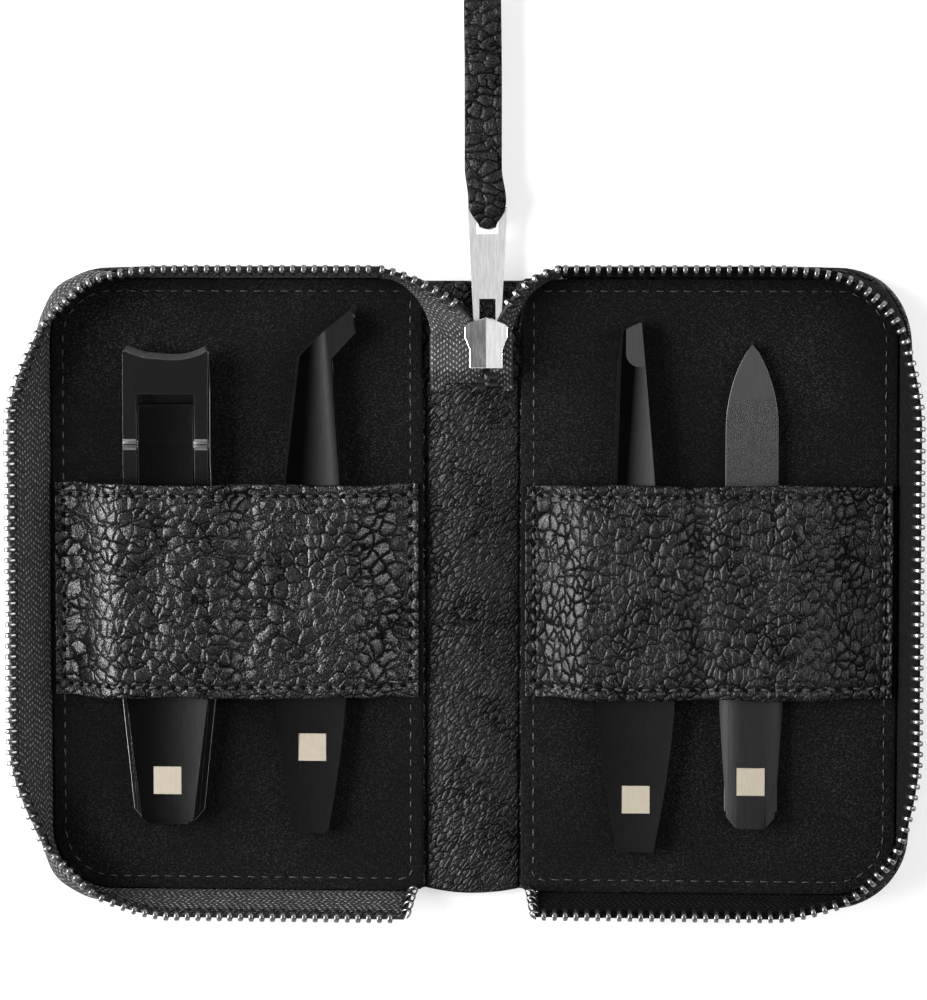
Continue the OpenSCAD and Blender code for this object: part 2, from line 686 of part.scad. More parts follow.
nose_back = window_back + 1.6;
inlay_back = clip_l * 0.908;
lever_top = lever_rest + lever_t;
module clipper_lever() color(tool_black) at_clipper() difference() {
    union() {
        intersection() {
            plan_view(mid_z) plan([
                [nose_back, lever_w / 2], [leaf_meet + 2, lever_w / 2],
                [clip_l * 0.6, lever_w1 / 2], [clip_l * 0.73, lever_w1 / 2],
                [clip_l - 1.2, lever_tail_w / 2 + 0.4], [clip_l, lever_tail_w / 2 - 0.8]
            ]);
            side_view(2 * clip_base_w) {
                polygon([
                    [nose_back + lever_t / 2, leaf_rise - 0.3], [axle_back, leaf_rise - 0.1],
                    [leaf_meet, lever_rest], [clip_l, lever_rest], [clip_l, lever_top - 0.3],
                    [clip_l - 1, lever_top], [leaf_meet, lever_top],
                    [axle_back, leaf_rise - 0.1 + lever_t],
                    [nose_back + lever_t / 2, leaf_rise - 0.3 + lever_t]
                ]);
                translate([nose_back + lever_t / 2, leaf_rise - 0.3 + lever_t / 2])
                    circle(lever_t / 2);
            }
        }
        translate([-lever_w / 2, -axle_back, axle_z]) rotate([0, 90, 0])
            cylinder(h = lever_w, r = axle_r + 0.55);
    }
    translate([-lever_w, -axle_back, axle_z]) rotate([0, 90, 0])
        cylinder(h = 2 * lever_w, r = axle_r + axle_play);
    translate([-inlay_w / 2, -inlay_back - inlay_w / 2, tool_z + lever_top - inlay_t])
        cube([inlay_w, inlay_w, 1]);
}
module inlay(x, y, z) color(champagne) translate([x - inlay_w / 2 + eps, y - inlay_w / 2 + eps, z])
    cube([inlay_w - 2 * eps, inlay_w - 2 * eps, inlay_t]);
module clipper_inlay()
    inlay(clip_x, clip_y1 - inlay_back, tool_z + lever_top - inlay_t);

// Tweezers, measured backwards from the tip

// Side view of a front arm: it leaves the rear arm at the joined tail and comes back at the tip
function arm_z(y, l) =
    let (peak = l * 0.4)
    y > l - arm_joint ? arm_t + 0.05 :
    y > peak ? arm_t + 0.05 + (arm_spread - 0.05) * ease((l - arm_joint - y) / (l - arm_joint - peak)) :
    arm_t + arm_spread - tip_close * ease((peak - y) / peak);
function tip_lift(y, l) = tip_close * ease((l * 0.4 - y) / (l * 0.4));
function arm_thick(y) = mix(tip_t, arm_t, min(y / 20, 1));
module arm_side(l, front) {
    ys = [for (i = [0:16]) l * i / 16];
    low = [for (y = ys) [y, front ? arm_z(y, l) : tip_lift(y, l) * 0.9]];
    polygon(concat(low, [for (i = [len(ys) - 1:-1:0]) low[i] + [0, arm_thick(ys[i])]]));
}
// Half width of a handle: slim at the waist, widest under the thumb, narrow at the tail
function handle_w(y, l, waist, wide, tail) =
    y < l * 0.33 ? waist :
    y < l * 0.72 ? mix(waist, wide, ease((y - l * 0.33) / (l * 0.39))) :
    mix(wide, tail, pow((y - l * 0.72) / (l * 0.28), 1.4));
module rounded(r) offset(r) offset(delta = -r) children();

module angled_plan(grow) {
    l = angled_l;
    w = angled_w / 2;
    ys = [for (i = [0:10]) mix(l * 0.33, l, i / 10)];
    rounded(1.1) polygon(concat(
        [[angled_reach * 0.94, 0], [angled_reach + 0.3, l * 0.022], [angled_reach + 0.3, l * 0.05],
            [3.9, l * 0.1]],
        [for (y = ys) [handle_w(y, l, 5.4, w, 3.1), y]],
        [for (i = [10:-1:0]) [-handle_w(ys[i], l, 4.2, w, 3.1) - grow * ease(3 - i * 0.5), ys[i]]],
        [[-1.7 - grow, l * 0.094], [2.6 - grow, l * 0.048]]));
}
module slant_plan(grow) {
    l = slant_l;
    w = slant_w / 2;
    ys = [for (i = [0:10]) mix(l * 0.33, l, i / 10)];
    rounded(0.3) polygon(concat(
        [[0.9, 0], [1.6, l * 0.08]],
        [for (y = ys) [handle_w(y, l, 3.6, w, 3.3), y]],
        [for (i = [10:-1:0]) [-handle_w(ys[i], l, 3.4, w, 3.3) - grow * ease(3 - i * 0.5), ys[i]]],
        [[-2.7 - grow, l * 0.08], [-2.3 - grow * 0.5, l * 0.016]]));
}
module arm(x, y1, l, front) translate([x, y1, 0]) intersection() {
    plan_view(mid_z) mirror([0, 1]) children();
    side_view(4 * arm_joint) arm_side(l, front);
}
// The plain square inlay sits in the front arm's handle
module front_arm(x, y1, l, inlay_y, inlay_x) difference() {
    arm(x, y1, l, true) children();
    translate([inlay_x - inlay_w / 2, inlay_y - inlay_w / 2, arm_inlay_z(y1 - inlay_y, l)])
        cube([inlay_w, inlay_w, 3]);
}
function arm_inlay_z(y, l) = tool_z + arm_z(y + inlay_w / 2, l) + arm_t - inlay_t;
angled_inlay_y = angled_y1 - angled_l * 0.835;
angled_inlay_x = angled_x + 0.3;
slant_inlay_y = slant_y1 - slant_l * 0.9;
slant_inlay_x = slant_x + 0.1;

module angled_rear_arm() color(tool_black)
    arm(angled_x, angled_y1, angled_l, false) angled_plan(arm_shift);
module angled_front_arm() color(tool_black)
    front_arm(angled_x, angled_y1, angled_l, angled_inlay_y, angled_inlay_x) angled_plan(0);
module angled_inlay()
    inlay(angled_inlay_x, angled_inlay_y, arm_inlay_z(angled_y1 - angled_inlay_y, angled_l));
module slant_rear_arm() color(tool_black)
    arm(slant_x, slant_y1, slant_l, false) slant_plan(arm_shift);
module slant_front_arm() color(tool_black)
    front_arm(slant_x, slant_y1, slant_l, slant_inlay_y, slant_inlay_x) slant_plan(0);
module slant_inlay()
    inlay(slant_inlay_x, slant_inlay_y, arm_inlay_z(slant_y1 - slant_inlay_y, slant_l));

// File, measured backwards from the point

crown_r = (pow(file_handle_w / 2, 2) + pow(file_crown, 2)) / (2 * file_crown);
module blade_plan(inset, y0, y1) {
    w = file_w / 2 - inset;
    ys = [for (i = [0:10]) mix(y0, file_arch, i / 10)];
    polygon(concat([for (y = ys) [w * sin(90 * pow(y / file_arch, 0.8)), -y]], [[w, -y1], [-w, -y1]],
        [for (i = [10:-1:0]) [-w * sin(90 * pow(ys[i] / file_arch, 0.8)), -ys[i]]]));
}
module at_file() translate([file_x, file_y1, tool_z]) children();
module file_blade() color(tool_black) at_file()
    linear_extrude(file_t) blade_plan(0, 0, file_l - 3);
module file_grit() color("#2c2c2e") at_file() translate([0, 0, file_t])
    linear_extrude(grit_t) blade_plan(0.15, grit_back, handle_back - 0.2);
file_inlay_y = file_y1 - file_l * 0.902;
file_inlay_z = tool_z + file_t + file_crown - 0.5;
module file_handle() color(tool_black) difference() {
    at_file() intersection() {
        translate([0, 0, file_t]) linear_extrude(2 * file_crown) rounded(1) plan([
            [handle_back, file_handle_w / 2 - 0.8], [file_l * 0.6, file_handle_w / 2],
            [file_l * 0.76, file_handle_w / 2], [file_l - 2, file_handle_w / 2 - 1.3],
            [file_l, file_handle_w / 2 - 3]
        ]);
        translate([0, 0, file_t + file_crown - crown_r]) rotate([90, 0, 0])
            cylinder(h = file_l + 1, r = crown_r, $fn = 96);
    }
    translate([file_x - inlay_w / 2, file_inlay_y - inlay_w / 2, file_inlay_z])
        cube([inlay_w, inlay_w, 3]);
}
module file_inlay() inlay(file_x, file_inlay_y, file_inlay_z);

spine_leather();
spine_strip();
spine_zip_tape();
closed_teeth();
cover_leather(-1);  // left_outer_leather
cover_wall(-1);  // left_edge_wall
cover_board(-1);  // left_board
cover_lining(-1);  // left_lining
cover_tape(-1);  // left_zip_tape
cover_teeth(-1);  // left_zip_teeth
left_band();  // left_tool_band
zip_end(-1);  // left_zip_end
cover_leather(1);  // right_outer_leather
cover_wall(1);  // right_edge_wall
cover_board(1);  // right_board
cover_lining(1);  // right_lining
cover_tape(1);  // right_zip_tape
cover_teeth(1);  // right_zip_teeth
right_band();  // right_tool_band
zip_end(1);  // right_zip_end
slider_body();
puller();
pull_strap();
clipper_base_leaf();
clipper_upper_leaf();
clipper_axle();
clipper_rivet();
clipper_lever();
clipper_inlay();
angled_rear_arm();
angled_front_arm();
angled_inlay();
slant_rear_arm();
slant_front_arm();
slant_inlay();
file_blade();
file_grit();
file_handle();
file_inlay();
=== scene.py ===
import json
import math

import bmesh
import bpy
import numpy as np
from mathutils import Matrix, Vector, noise


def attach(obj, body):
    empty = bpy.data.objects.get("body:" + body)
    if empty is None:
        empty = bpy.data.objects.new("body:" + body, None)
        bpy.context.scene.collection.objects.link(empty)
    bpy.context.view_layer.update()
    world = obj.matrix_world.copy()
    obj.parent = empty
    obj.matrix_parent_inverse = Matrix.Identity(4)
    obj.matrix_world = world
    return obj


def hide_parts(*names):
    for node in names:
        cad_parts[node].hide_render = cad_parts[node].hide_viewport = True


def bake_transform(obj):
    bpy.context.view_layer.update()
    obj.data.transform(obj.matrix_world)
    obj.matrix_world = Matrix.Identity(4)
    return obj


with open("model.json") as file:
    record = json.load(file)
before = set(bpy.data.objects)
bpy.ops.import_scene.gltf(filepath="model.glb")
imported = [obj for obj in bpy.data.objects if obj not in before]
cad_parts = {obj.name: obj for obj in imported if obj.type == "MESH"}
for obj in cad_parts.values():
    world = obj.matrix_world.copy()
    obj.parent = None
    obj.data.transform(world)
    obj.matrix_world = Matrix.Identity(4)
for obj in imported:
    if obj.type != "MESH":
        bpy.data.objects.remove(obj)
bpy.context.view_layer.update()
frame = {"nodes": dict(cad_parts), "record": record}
scene = bpy.context.scene
# Without this, noise_vector draws from the clock
noise.seed_set(7)
print("frame loaded:", len(frame["nodes"]), "nodes")


# One socket, so that a + b, a * 2 and 1 - a add Math nodes
class Value:
    def __init__(self, tree, socket):
        self.tree, self.socket = tree, socket

    def maths(self, operation, *others):
        return make(self.tree, "ShaderNodeMath", {"operation": operation}, (self, *others))

    def __add__(self, other):
        return self.maths("ADD", other)

    def __sub__(self, other):
        return self.maths("SUBTRACT", other)

    def __rsub__(self, other):
        return make(self.tree, "ShaderNodeMath", {"operation": "SUBTRACT"}, (other, self))

    def __mul__(self, other):
        return self.maths("MULTIPLY", other)

    def __truediv__(self, other):
        return self.maths("DIVIDE", other)

    def __pow__(self, other):
        return self.maths("POWER", other)

    __radd__ = __add__
    __rmul__ = __mul__


# Adds a node: its settings first, then its sockets by name or in order; gives the chosen output
def make(tree, kind, settings=None, sockets=(), out=0):
    node = tree.nodes.new(kind)
    for key, value in (settings or {}).items():
        setattr(node, key, value)
    offered = [s for s in node.inputs if s.enabled]
    named = sockets.items() if isinstance(sockets, dict) else enumerate(sockets)
    for key, value in named:
        socket = offered[key] if isinstance(key, int) else next(s for s in offered if s.name == key)
        if isinstance(value, Value):
            tree.links.new(value.socket, socket)
        elif value is not None:
            socket.default_value = value
    shown = [s for s in node.outputs if s.enabled]
    return Value(tree, shown[out] if isinstance(out, int) else node.outputs[out])


# The colour of a grey level from 0 to 255, as it is seen in a picture
def grey(level):
    linear = ((level / 255 + 0.055) / 1.055) ** 2.4 if level > 10 else level / 255 / 12.92
    return (linear, linear, linear, 1)


# A named material: build(tree) returns what goes to the Principled sockets, and a mask where a black unlit
# diffuse is mixed in as painted shade
def newMaterial(name, build):
    material = bpy.data.materials.new(name)
    material.use_nodes = True
    tree = material.node_tree
    shader = tree.nodes["Principled BSDF"]
    parts = build(tree)
    hollow = parts.pop("Painted shade", None)
    for key, value in parts.items():
        if isinstance(value, Value):
            tree.links.new(value.socket, shader.inputs[key])
        else:
            shader.inputs[key].default_value = value
    # painted shade: a near-black diffuse mixed over the Principled shader where the mask is high
    if hollow:
        dark = make(tree, "ShaderNodeBsdfDiffuse", {}, {"Color": grey(3)})
        blend = make(tree, "ShaderNodeMixShader", {}, [hollow, Value(tree, shader.outputs[0]), dark])
        tree.links.new(blend.socket, tree.nodes["Material Output"].inputs["Surface"])
    return material


def blendColour(tree, factor, a, b):
    return make(tree, "ShaderNodeMix", {"data_type": "RGBA"}, {"Factor": factor, "A": a, "B": b})


def ranged(tree, value, low, high, to0=0.0, to1=1.0, kind="SMOOTHSTEP"):
    return make(tree, "ShaderNodeMapRange", {"interpolation_type": kind},
                {"Value": value, "From Min": low, "From Max": high, "To Min": to0, "To Max": to1})


# What most finishes are made of: soft noise, round cells, relief, and where on a piece they are read
def cloudy(tree, place, scale, detail=2.0, rough=0.5, out=0):
    return make(tree, "ShaderNodeTexNoise", {},
                {"Vector": place, "Scale": scale, "Detail": detail, "Roughness": rough}, out)


def cells(tree, place, scale, feature="F1", spread=1.0, out=0):
    return make(tree, "ShaderNodeTexVoronoi", {"feature": feature},
                {"Vector": place, "Scale": scale, "Randomness": spread}, out)


def bumped(tree, height, distance, strength=1.0):
    return make(tree, "ShaderNodeBump", {}, {"Strength": strength, "Distance": distance, "Height": height})


def objectPosition(tree):
    return make(tree, "ShaderNodeTexCoord", {}, out="Object")


def surfacePosition(tree):
    return make(tree, "ShaderNodeUVMap", {"uv_map": "surface"})


# All meshes are written in millimetres and stored in metres
def newPiece(name, points, faces, material, uv=None, smooth=True):
    mesh = bpy.data.meshes.new(name)
    mesh.from_pydata([tuple(c * 0.001 for c in p) for p in points], [], faces)
    if uv is not None:
        layer = mesh.uv_layers.new(name="surface")
        flat = np.array([uv[v] for f in faces for v in f], np.float32).ravel()
        layer.data.foreach_set("uv", flat)
    mesh.materials.append(material)
    if smooth:
        mesh.shade_smooth()
    piece = bpy.data.objects.new(name, mesh)
    scene.collection.objects.link(piece)
    return piece


def applyModifiers(piece):
    bpy.context.view_layer.update()
    graph = bpy.context.evaluated_depsgraph_get()
    mesh = bpy.data.meshes.new_from_object(piece.evaluated_get(graph), depsgraph=graph)
    piece.modifiers.clear()
    piece.data = mesh
    return piece


def ease(u):
    u = np.clip(u, 0, 1)
    return u * u * (3 - 2 * u)


def mix(a, b, u):
    return a + (b - a) * u


def unitRows(v):
    return v / np.linalg.norm(v, axis=-1, keepdims=True)


# What is left of each row of up, square to the same row of along
def squareTo(along, up):
    return unitRows(up - along * np.sum(up * along, 1)[:, None])


# The length run along a row of points, up to each of them
def runAlong(points):
    return np.concatenate([[0], np.cumsum(np.linalg.norm(np.diff(points, axis=0), axis=1))])


def thereAndBack(row):
    return np.concatenate([row, row[::-1]])


# The camera's aim and place in millimetres, with the millimetres that one pixel of the photograph covers.
# Each lamp has its place and target in metres, its width and height, and its power.
studio = {
    "aim": (-1.5, 15.6, 3.0), "foot": (40.0, 64.0), "distance": 700.0, "scale": 0.1791, "pixels": 1000,
    "sideGlow": 0.16, "topGlow": 0.10, "floorHalf": 3000, "floorZ": -0.05, "floorLift": 0.5,
    "lamps": {
        "left softbox": ((-0.88, 0.10, 0.46), (-0.04, 0, 0), 0.80, 0.80, 50.0),
        "right softbox": ((0.85, 0.15, 0.50), (0.04, 0, 0), 0.50, 0.80, 12.0),
        "back softbox": ((0.0, 1.0, 0.55), (0, 0, 0), 1.20, 0.40, 5.0),
        "front softbox": ((0.0, -0.95, 0.55), (0, 0, 0), 1.20, 0.40, 3.0),
        "card": ((0.17, 0.06, 0.80), (0.17, 0.06, 0), 0.52, 0.45, 0.71),
    },
}


# The floor glows only for what looks straight at it or at its reflection, so it throws no light on the case
def whitePaper(tree):
    kinds = ("Is Camera Ray", "Is Glossy Ray", "Is Transmission Ray")
    camera, glossy, through = [make(tree, "ShaderNodeLightPath", {}, out=kind) for kind in kinds]
    lift = (camera + glossy + through).maths("MINIMUM", 1.0) * studio["floorLift"]
    return {
        "Base Color": (0.35, 0.35, 0.35, 1), "Roughness": 0.9, "Specular IOR Level": 0.0,
        "Emission Color": make(tree, "ShaderNodeCombineColor", {}, [lift, lift, lift]),
        "Emission Strength": 1.0,
    }


def buildCamera():
    h = studio
    aim, place = Vector(h["aim"]) * 0.001, Vector((*h["foot"], h["distance"])) * 0.001
    camera = bpy.data.objects.new("camera", bpy.data.cameras.new("camera"))
    camera.location = place
    camera.rotation_mode = "QUATERNION"
    ahead = (aim - place).normalized()
    right = ahead.cross(Vector((0, 1, 0))).normalized()
    camera.rotation_quaternion = Matrix((right, right.cross(ahead), -ahead)).transposed().to_quaternion()
    camera.data.sensor_fit, camera.data.sensor_width = "AUTO", 36
    camera.data.lens = 36 * (aim - place).length / (h["pixels"] * h["scale"] * 0.001)
    camera.data.clip_start, camera.data.clip_end = 0.01, 20
    scene.collection.objects.link(camera)
    scene.camera = camera


# The world is white where the camera sees it and a dim glow where it lights the case
def buildWorld():
    world = bpy.data.worlds.new("studio")
    scene.world = world
    world.use_nodes = True
    tree = world.node_tree
    height = make(tree, "ShaderNodeSeparateXYZ", {},
                  [make(tree, "ShaderNodeTexCoord", {}, out="Generated")], out="Z")
    glow = ranged(tree, height, 0.1, 0.95, studio["sideGlow"], studio["topGlow"])
    seen = make(tree, "ShaderNodeLightPath", {}, out="Is Camera Ray")
    strength = seen + (1 - seen) * glow
    tree.links.new(strength.socket, tree.nodes["Background"].inputs["Strength"])
    tree.nodes["Background"].inputs["Color"].default_value = (1, 1, 1, 1)


def buildLights():
    for name, (place, target, wide, high, power) in studio["lamps"].items():
        light = bpy.data.lights.new(name, "AREA")
        light.shape, light.size, light.size_y, light.energy = "RECTANGLE", wide, high, power
        lamp = bpy.data.objects.new(name, light)
        lamp.location = place
        lamp.rotation_mode = "QUATERNION"
        lamp.rotation_quaternion = (Vector(target) - Vector(place)).to_track_quat("-Z", "Y")
        scene.collection.objects.link(lamp)


buildCamera()
buildWorld()
half, low = studio["floorHalf"], studio["floorZ"]
corners = [(-half, -half, low), (half, -half, low), (half, half, low), (-half, half, low)]
floor = newPiece("floor", corners, [(0, 1, 2, 3)], newMaterial("paper", whitePaper), smooth=False)
buildLights()
print("studio ready")


# Each hide: its pebbles in millimetres, drawn out and turned, and how deep, dark and glossy it is.
# The right band is the same hide as the left one, and its lower tone is painted shade
hides = {
    "cover": {"pebble": 2.2},
    "left band": {"pebble": 2.2, "stretch": 1.15, "along": 0.12, "shine": 0.25, "gloss": 0.44},
    "right band": {"pebble": 2.2, "stretch": 1.15, "along": 0.12, "tone": 0.85, "gloss": 0.30},
    "spine": {"pebble": 0.9, "stretch": 2.3, "along": 0.85, "depth": 0.8, "tone": 0.75, "shine": 0.36,
              "gloss": 0.28},
    "strap": {"pebble": 2.1, "stretch": 1.2, "depth": 1.4, "tone": 0.65, "shine": 0.38, "gloss": 0.26},
}
# Grey levels of the hide: painted shade in the creases, the leather, and how much lighter a worn pebble may
# be
hideLevels = {"crease": 4, "leather": 15, "worn": 1.3}


# Pebbled hide: rounded cells parted by fine creases, over pores and a slow drift of shade. The creases and
# the specks
# between the grains get painted shade: a darker colour and a mix into unlit black
def pebbledHide(tree, position, pebble, stretch=1.0, along=0.0, depth=1.0, tone=1.0, shine=0.30, gloss=0.42):
    spot = make(tree, "ShaderNodeMapping", {"vector_type": "TEXTURE"},
                {"Vector": position, "Rotation": (0, 0, along), "Scale": (stretch, 1, 1)})
    drift = cloudy(tree, spot, 520.0, 3.0, 0.55, out="Color")
    slow = cloudy(tree, position, 90.0)
    pores = cloudy(tree, position, 2700.0, 4.0, 0.8)
    grains = cloudy(tree, position, 3900.0)
    centred = make(tree, "ShaderNodeVectorMath", {"operation": "SUBTRACT"}, [drift, (0.5, 0.5, 0.5)])
    shift = make(tree, "ShaderNodeVectorMath", {"operation": "SCALE"}, {"Vector": centred, "Scale": 0.0013})
    bent = make(tree, "ShaderNodeVectorMath", {"operation": "ADD"}, [spot, shift])
    scale = 1000.0 / pebble
    edge = cells(tree, bent, scale, "DISTANCE_TO_EDGE", 0.90)
    small = cells(tree, bent, scale * 2.1, "DISTANCE_TO_EDGE")
    cell = cells(tree, bent, scale, "F1", 0.90, out="Color")
    far = cells(tree, bent, scale, "F1", 0.90, out="Distance")

    # the relief: each pebble's dome, the creases round it, finer creases on it, and the pores
    dome = ranged(tree, edge, 0.0, 0.24)
    cut = ranged(tree, edge / ranged(tree, slow, 0.35, 0.65, 0.06, 0.11), 0.1, 1.0)
    fine = ranged(tree, small, 0.0, 0.10)
    fineDepth = ranged(tree, slow, 0.42, 0.60, 0.08, 0.01)
    height = dome * 0.22 + cut * 0.20 - far * far * 0.55 + fine * fineDepth + pores * 0.13

    # the colour: painted shade in the creases and between the grains, a little different on each pebble
    speckle = ranged(tree, grains, 0.38, 0.60)
    faint = ranged(tree, slow, 0.40, 0.60, 0.35, 0.75)
    creaseShadeAndGloss = cut * 0.85 + fine * 0.15
    level = hideLevels["leather"] * tone
    varied = blendColour(tree, make(tree, "ShaderNodeSeparateColor", {}, [cell]) * 0.5 + slow * 0.3,
                         grey(level), grey(level * hideLevels["worn"]))
    return {
        "Base Color": blendColour(tree, creaseShadeAndGloss * speckle, grey(hideLevels["crease"] * tone), varied),
        "Roughness": 0.72 - creaseShadeAndGloss * (0.72 - shine) + (0.5 - pores) * 0.5,
        "Normal": bumped(tree, height, 0.00042 * depth), "Specular IOR Level": gloss,
        "Painted shade": (1 - cut) * faint + (1 - speckle) * 0.75,
    }


def hideLeather(name):
    position = objectPosition if name == "cover" else surfacePosition
    return newMaterial(name + " leather", lambda t: pebbledHide(t, position(t), **hides[name]))


leather = {name: hideLeather(name) for name in hides}


# Suede: a fine raised nap in brushed patches
def suedeNap(tree):
    position = objectPosition(tree)
    fibres = cloudy(tree, position, 3600.0, 4.0, 0.8)
    patches = cloudy(tree, position, 38.0, 3.0)
    nap = ranged(tree, fibres, 0.49, 0.66) * ranged(tree, patches, 0.32, 0.70, 0.35, 1.0)
    return {
        "Base Color": blendColour(tree, nap, grey(1), grey(38)), "Normal": bumped(tree, fibres, 0.0002, 0.5),
        "Roughness": 0.95, "Specular IOR Level": 0.08, "Sheen Weight": 0.03, "Sheen Roughness": 0.5,
        "Sheen Tint": (0.5, 0.5, 0.5, 1),
    }


suede = newMaterial("suede lining", suedeNap)

# The tape's strands in metres: width, rise and the width of a chevron; the levels of its ground and strands.
# The strands' lighter level is a painted highlight on the black tape
weave = {"column": 0.00056, "rise": 0.0021, "chevron": 0.0035, "ground": 2, "strand": 118}


# Zip tape: slanted strands that run in chevrons along the tape; its map holds the length and the width.
# The strands' lighter colour is a painted highlight; a tone below 1 darkens the tape as painted shade
def zipWeave(tree, tone=1.0):
    h = weave
    place = surfacePosition(tree)
    along = make(tree, "ShaderNodeSeparateXYZ", {}, [place], out="X")
    across = make(tree, "ShaderNodeSeparateXYZ", {}, [place], out="Y")
    wander = cloudy(tree, place, 700.0, 1.0)
    middle = ((across / h["column"]).maths("FLOOR") + 0.5) * h["column"]
    turn = (middle / h["chevron"]).maths("FRACT") - 0.5
    slant = turn.maths("SIGN")
    side = (across - middle) / h["column"]
    run = turn.maths("ABSOLUTE") * 2
    phase = (along / (h["rise"] * 0.5) + run * 2 - side * slant * 0.28 + wander * 0.25).maths("FRACT")
    length = 1 - ranged(tree, (phase - 0.5).maths("ABSOLUTE"), 0.10, 0.36)
    width = 1 - ranged(tree, side.maths("ABSOLUTE"), 0.12, 0.42)
    strand = length * width
    fuzz = cloudy(tree, place, 5000.0)
    # patches where the strands' painted highlight is weaker
    worn = ranged(tree, cloudy(tree, place, 1500.0), 0.36, 0.66, 0.1, 1.0)
    lit = strand * worn * (0.5 + fuzz)
    return {
        "Base Color": blendColour(tree, lit, grey(h["ground"]), grey(h["strand"] * tone)),
        "Roughness": 0.78 - strand * 0.30, "Specular IOR Level": 0.4 * tone,
        "Normal": bumped(tree, strand + fuzz * 0.2, 0.00030),
    }


zipTape = newMaterial("zip tape", zipWeave)
# The right cover's tape: the same tape with its colour and gloss lowered, as painted shade
shadedTape = newMaterial("zip tape in shade", lambda t: zipWeave(t, 0.18))


def threadTwist(tree, level):
    twist = cloudy(tree, objectPosition(tree), 4200.0, 3.0)
    return {"Base Color": blendColour(tree, twist, grey(level * 0.35), grey(level)), "Roughness": 0.6,
            "Normal": bumped(tree, twist, 0.0001, 0.5)}


liningThread = newMaterial("lining thread", lambda t: threadTwist(t, 34))
bandThread = newMaterial("band thread", lambda t: threadTwist(t, 22))


# Metals: scratches drawn out along one way, worn a little brighter
def brushedMetal(tree, colour, metallic, rough, grain, draw):
    place = make(tree, "ShaderNodeMapping", {}, {"Vector": objectPosition(tree), "Scale": draw})
    lines = cloudy(tree, place, 1.0, 3.0, 0.65)
    smear = cloudy(tree, objectPosition(tree), 60.0)
    worn = ranged(tree, lines, 0.3, 0.75) * 0.36 + smear * 0.12
    return {
        "Base Color": make(tree, "ShaderNodeVectorMath", {"operation": "SCALE"},
                           {"Vector": colour, "Scale": 1 + worn * 0.85}),
        "Metallic": metallic, "Roughness": rough + lines * 0.12 + smear * 0.06,
        "Normal": bumped(tree, lines * 0.00002 * grain, 1.0),
    }


# Each metal's grey level, metallic share, roughness, depth of the scratches and how they are drawn out
metals = {
    "nickel": (205, 1.0, 0.12, 0.12, (2500, 300, 2500)),
    "tooth nickel": (100, 1.0, 0.24, 0.10, (2500, 2500, 2500)),
    "black steel": (20, 0.9, 0.30, 0.35, (9000, 260, 9000)),
    "file blade steel": (62, 0.9, 0.34, 0.30, (9000, 260, 9000)),
    # a brighter steel laid on broken edges and on the clipper's jaw end and slopes: a painted highlight
    "painted edge highlight": (92, 0.9, 0.26, 0.20, (4000, 400, 4000)),
}


def plainMetal(name):
    level, *rest = metals[name]
    return newMaterial(name, lambda t: brushedMetal(t, grey(level)[:3], *rest))


metal = {name: plainMetal(name) for name in metals}

# Painted sheen across the tool faces: grey levels in the base colour that stand in for the lamps' highlights.
# A pair of tweezers has its upper face at two heights, each as y, left and right edge, then its flat end, the
# levels from dim to bright above and from left to right below, and the round facet near the slant tip,
# painted brighter as a highlight. The file's handle and the lever have one face and two levels.
paintedSheen = {
    "angled": {"upper": ((38.9, -30.5, -25.2), (18.6, -33.0, -23.3)), "lower": (-35.5, -23.5),
               "levels": (3, 72, 20, 36), "power": 2.0},
    "slant": {"upper": ((37.3, 27.8, 32.6), (22.9, 26.4, 33.4)), "lower": (23.0, 36.0),
              "levels": (3, 76, 24, 40), "power": 1.1, "facet": (30.0, 42.0, 2.5, 66)},
    "file": {"face": (44.6, 55.4), "levels": (14, 44)},
    "lever": {"face": (-62.4, -48.4), "levels": (9, 66)},
}
# Where the painted sheen rises and falls across a face, where it turns from the lower to the upper face, and
# where and how far the lever's fades
paintedSheenRange = {"rise": (0.22, 0.84), "fall": (0.82, 1.02), "fallen": 0.75, "turn": (-5.0, 10.0),
              "leverTurn": (0.0, 15.0), "leverDim": 0.85}


def facePlace(tree):
    place = objectPosition(tree)
    return [make(tree, "ShaderNodeSeparateXYZ", {}, [place], out=axis) * 1000 for axis in "XY"]


def tweezerPaintedSheen(tree, h):
    (ya, la, ra), (yb, lb, rb) = h["upper"]
    dim, bright, left, right = h["levels"]
    x, y = facePlace(tree)
    t = (y - yb) / (ya - yb)
    start = t * (la - lb) + lb
    u = (x - start) / (t * (ra - la - rb + lb) + (rb - lb))
    rise = ranged(tree, u, *paintedSheenRange["rise"], kind="LINEAR")
    fall = 1 - ranged(tree, u, *paintedSheenRange["fall"]) * paintedSheenRange["fallen"]
    upper = blendColour(tree, rise ** h["power"] * fall, grey(dim), grey(bright))
    if "facet" in h:
        fx, fy, radius, level = h["facet"]
        down = (y - fy).maths("MINIMUM", 0.0)
        reach = (x - fx) * (x - fx) + down * down
        outside = ranged(tree, reach, radius * radius * 0.85, radius * radius)
        upper = blendColour(tree, 1 - outside, upper, grey(level))
    lower = blendColour(tree, ranged(tree, x, *h["lower"], kind="LINEAR"), grey(left), grey(right))
    return blendColour(tree, ranged(tree, y, *paintedSheenRange["turn"]), lower, upper)


def filePaintedSheen(tree, h):
    u = ranged(tree, facePlace(tree)[0], *h["face"], -1.0, 1.0, kind="LINEAR")
    return blendColour(tree, 1 - u * u, *[grey(v) for v in h["levels"]])


def leverPaintedSheen(tree, h):
    x, y = facePlace(tree)
    u = ranged(tree, x, *h["face"], kind="LINEAR")
    lit = 1 - ranged(tree, y, *paintedSheenRange["leverTurn"]) * paintedSheenRange["leverDim"]
    return blendColour(tree, u * u * u * lit, *[grey(v) for v in h["levels"]])


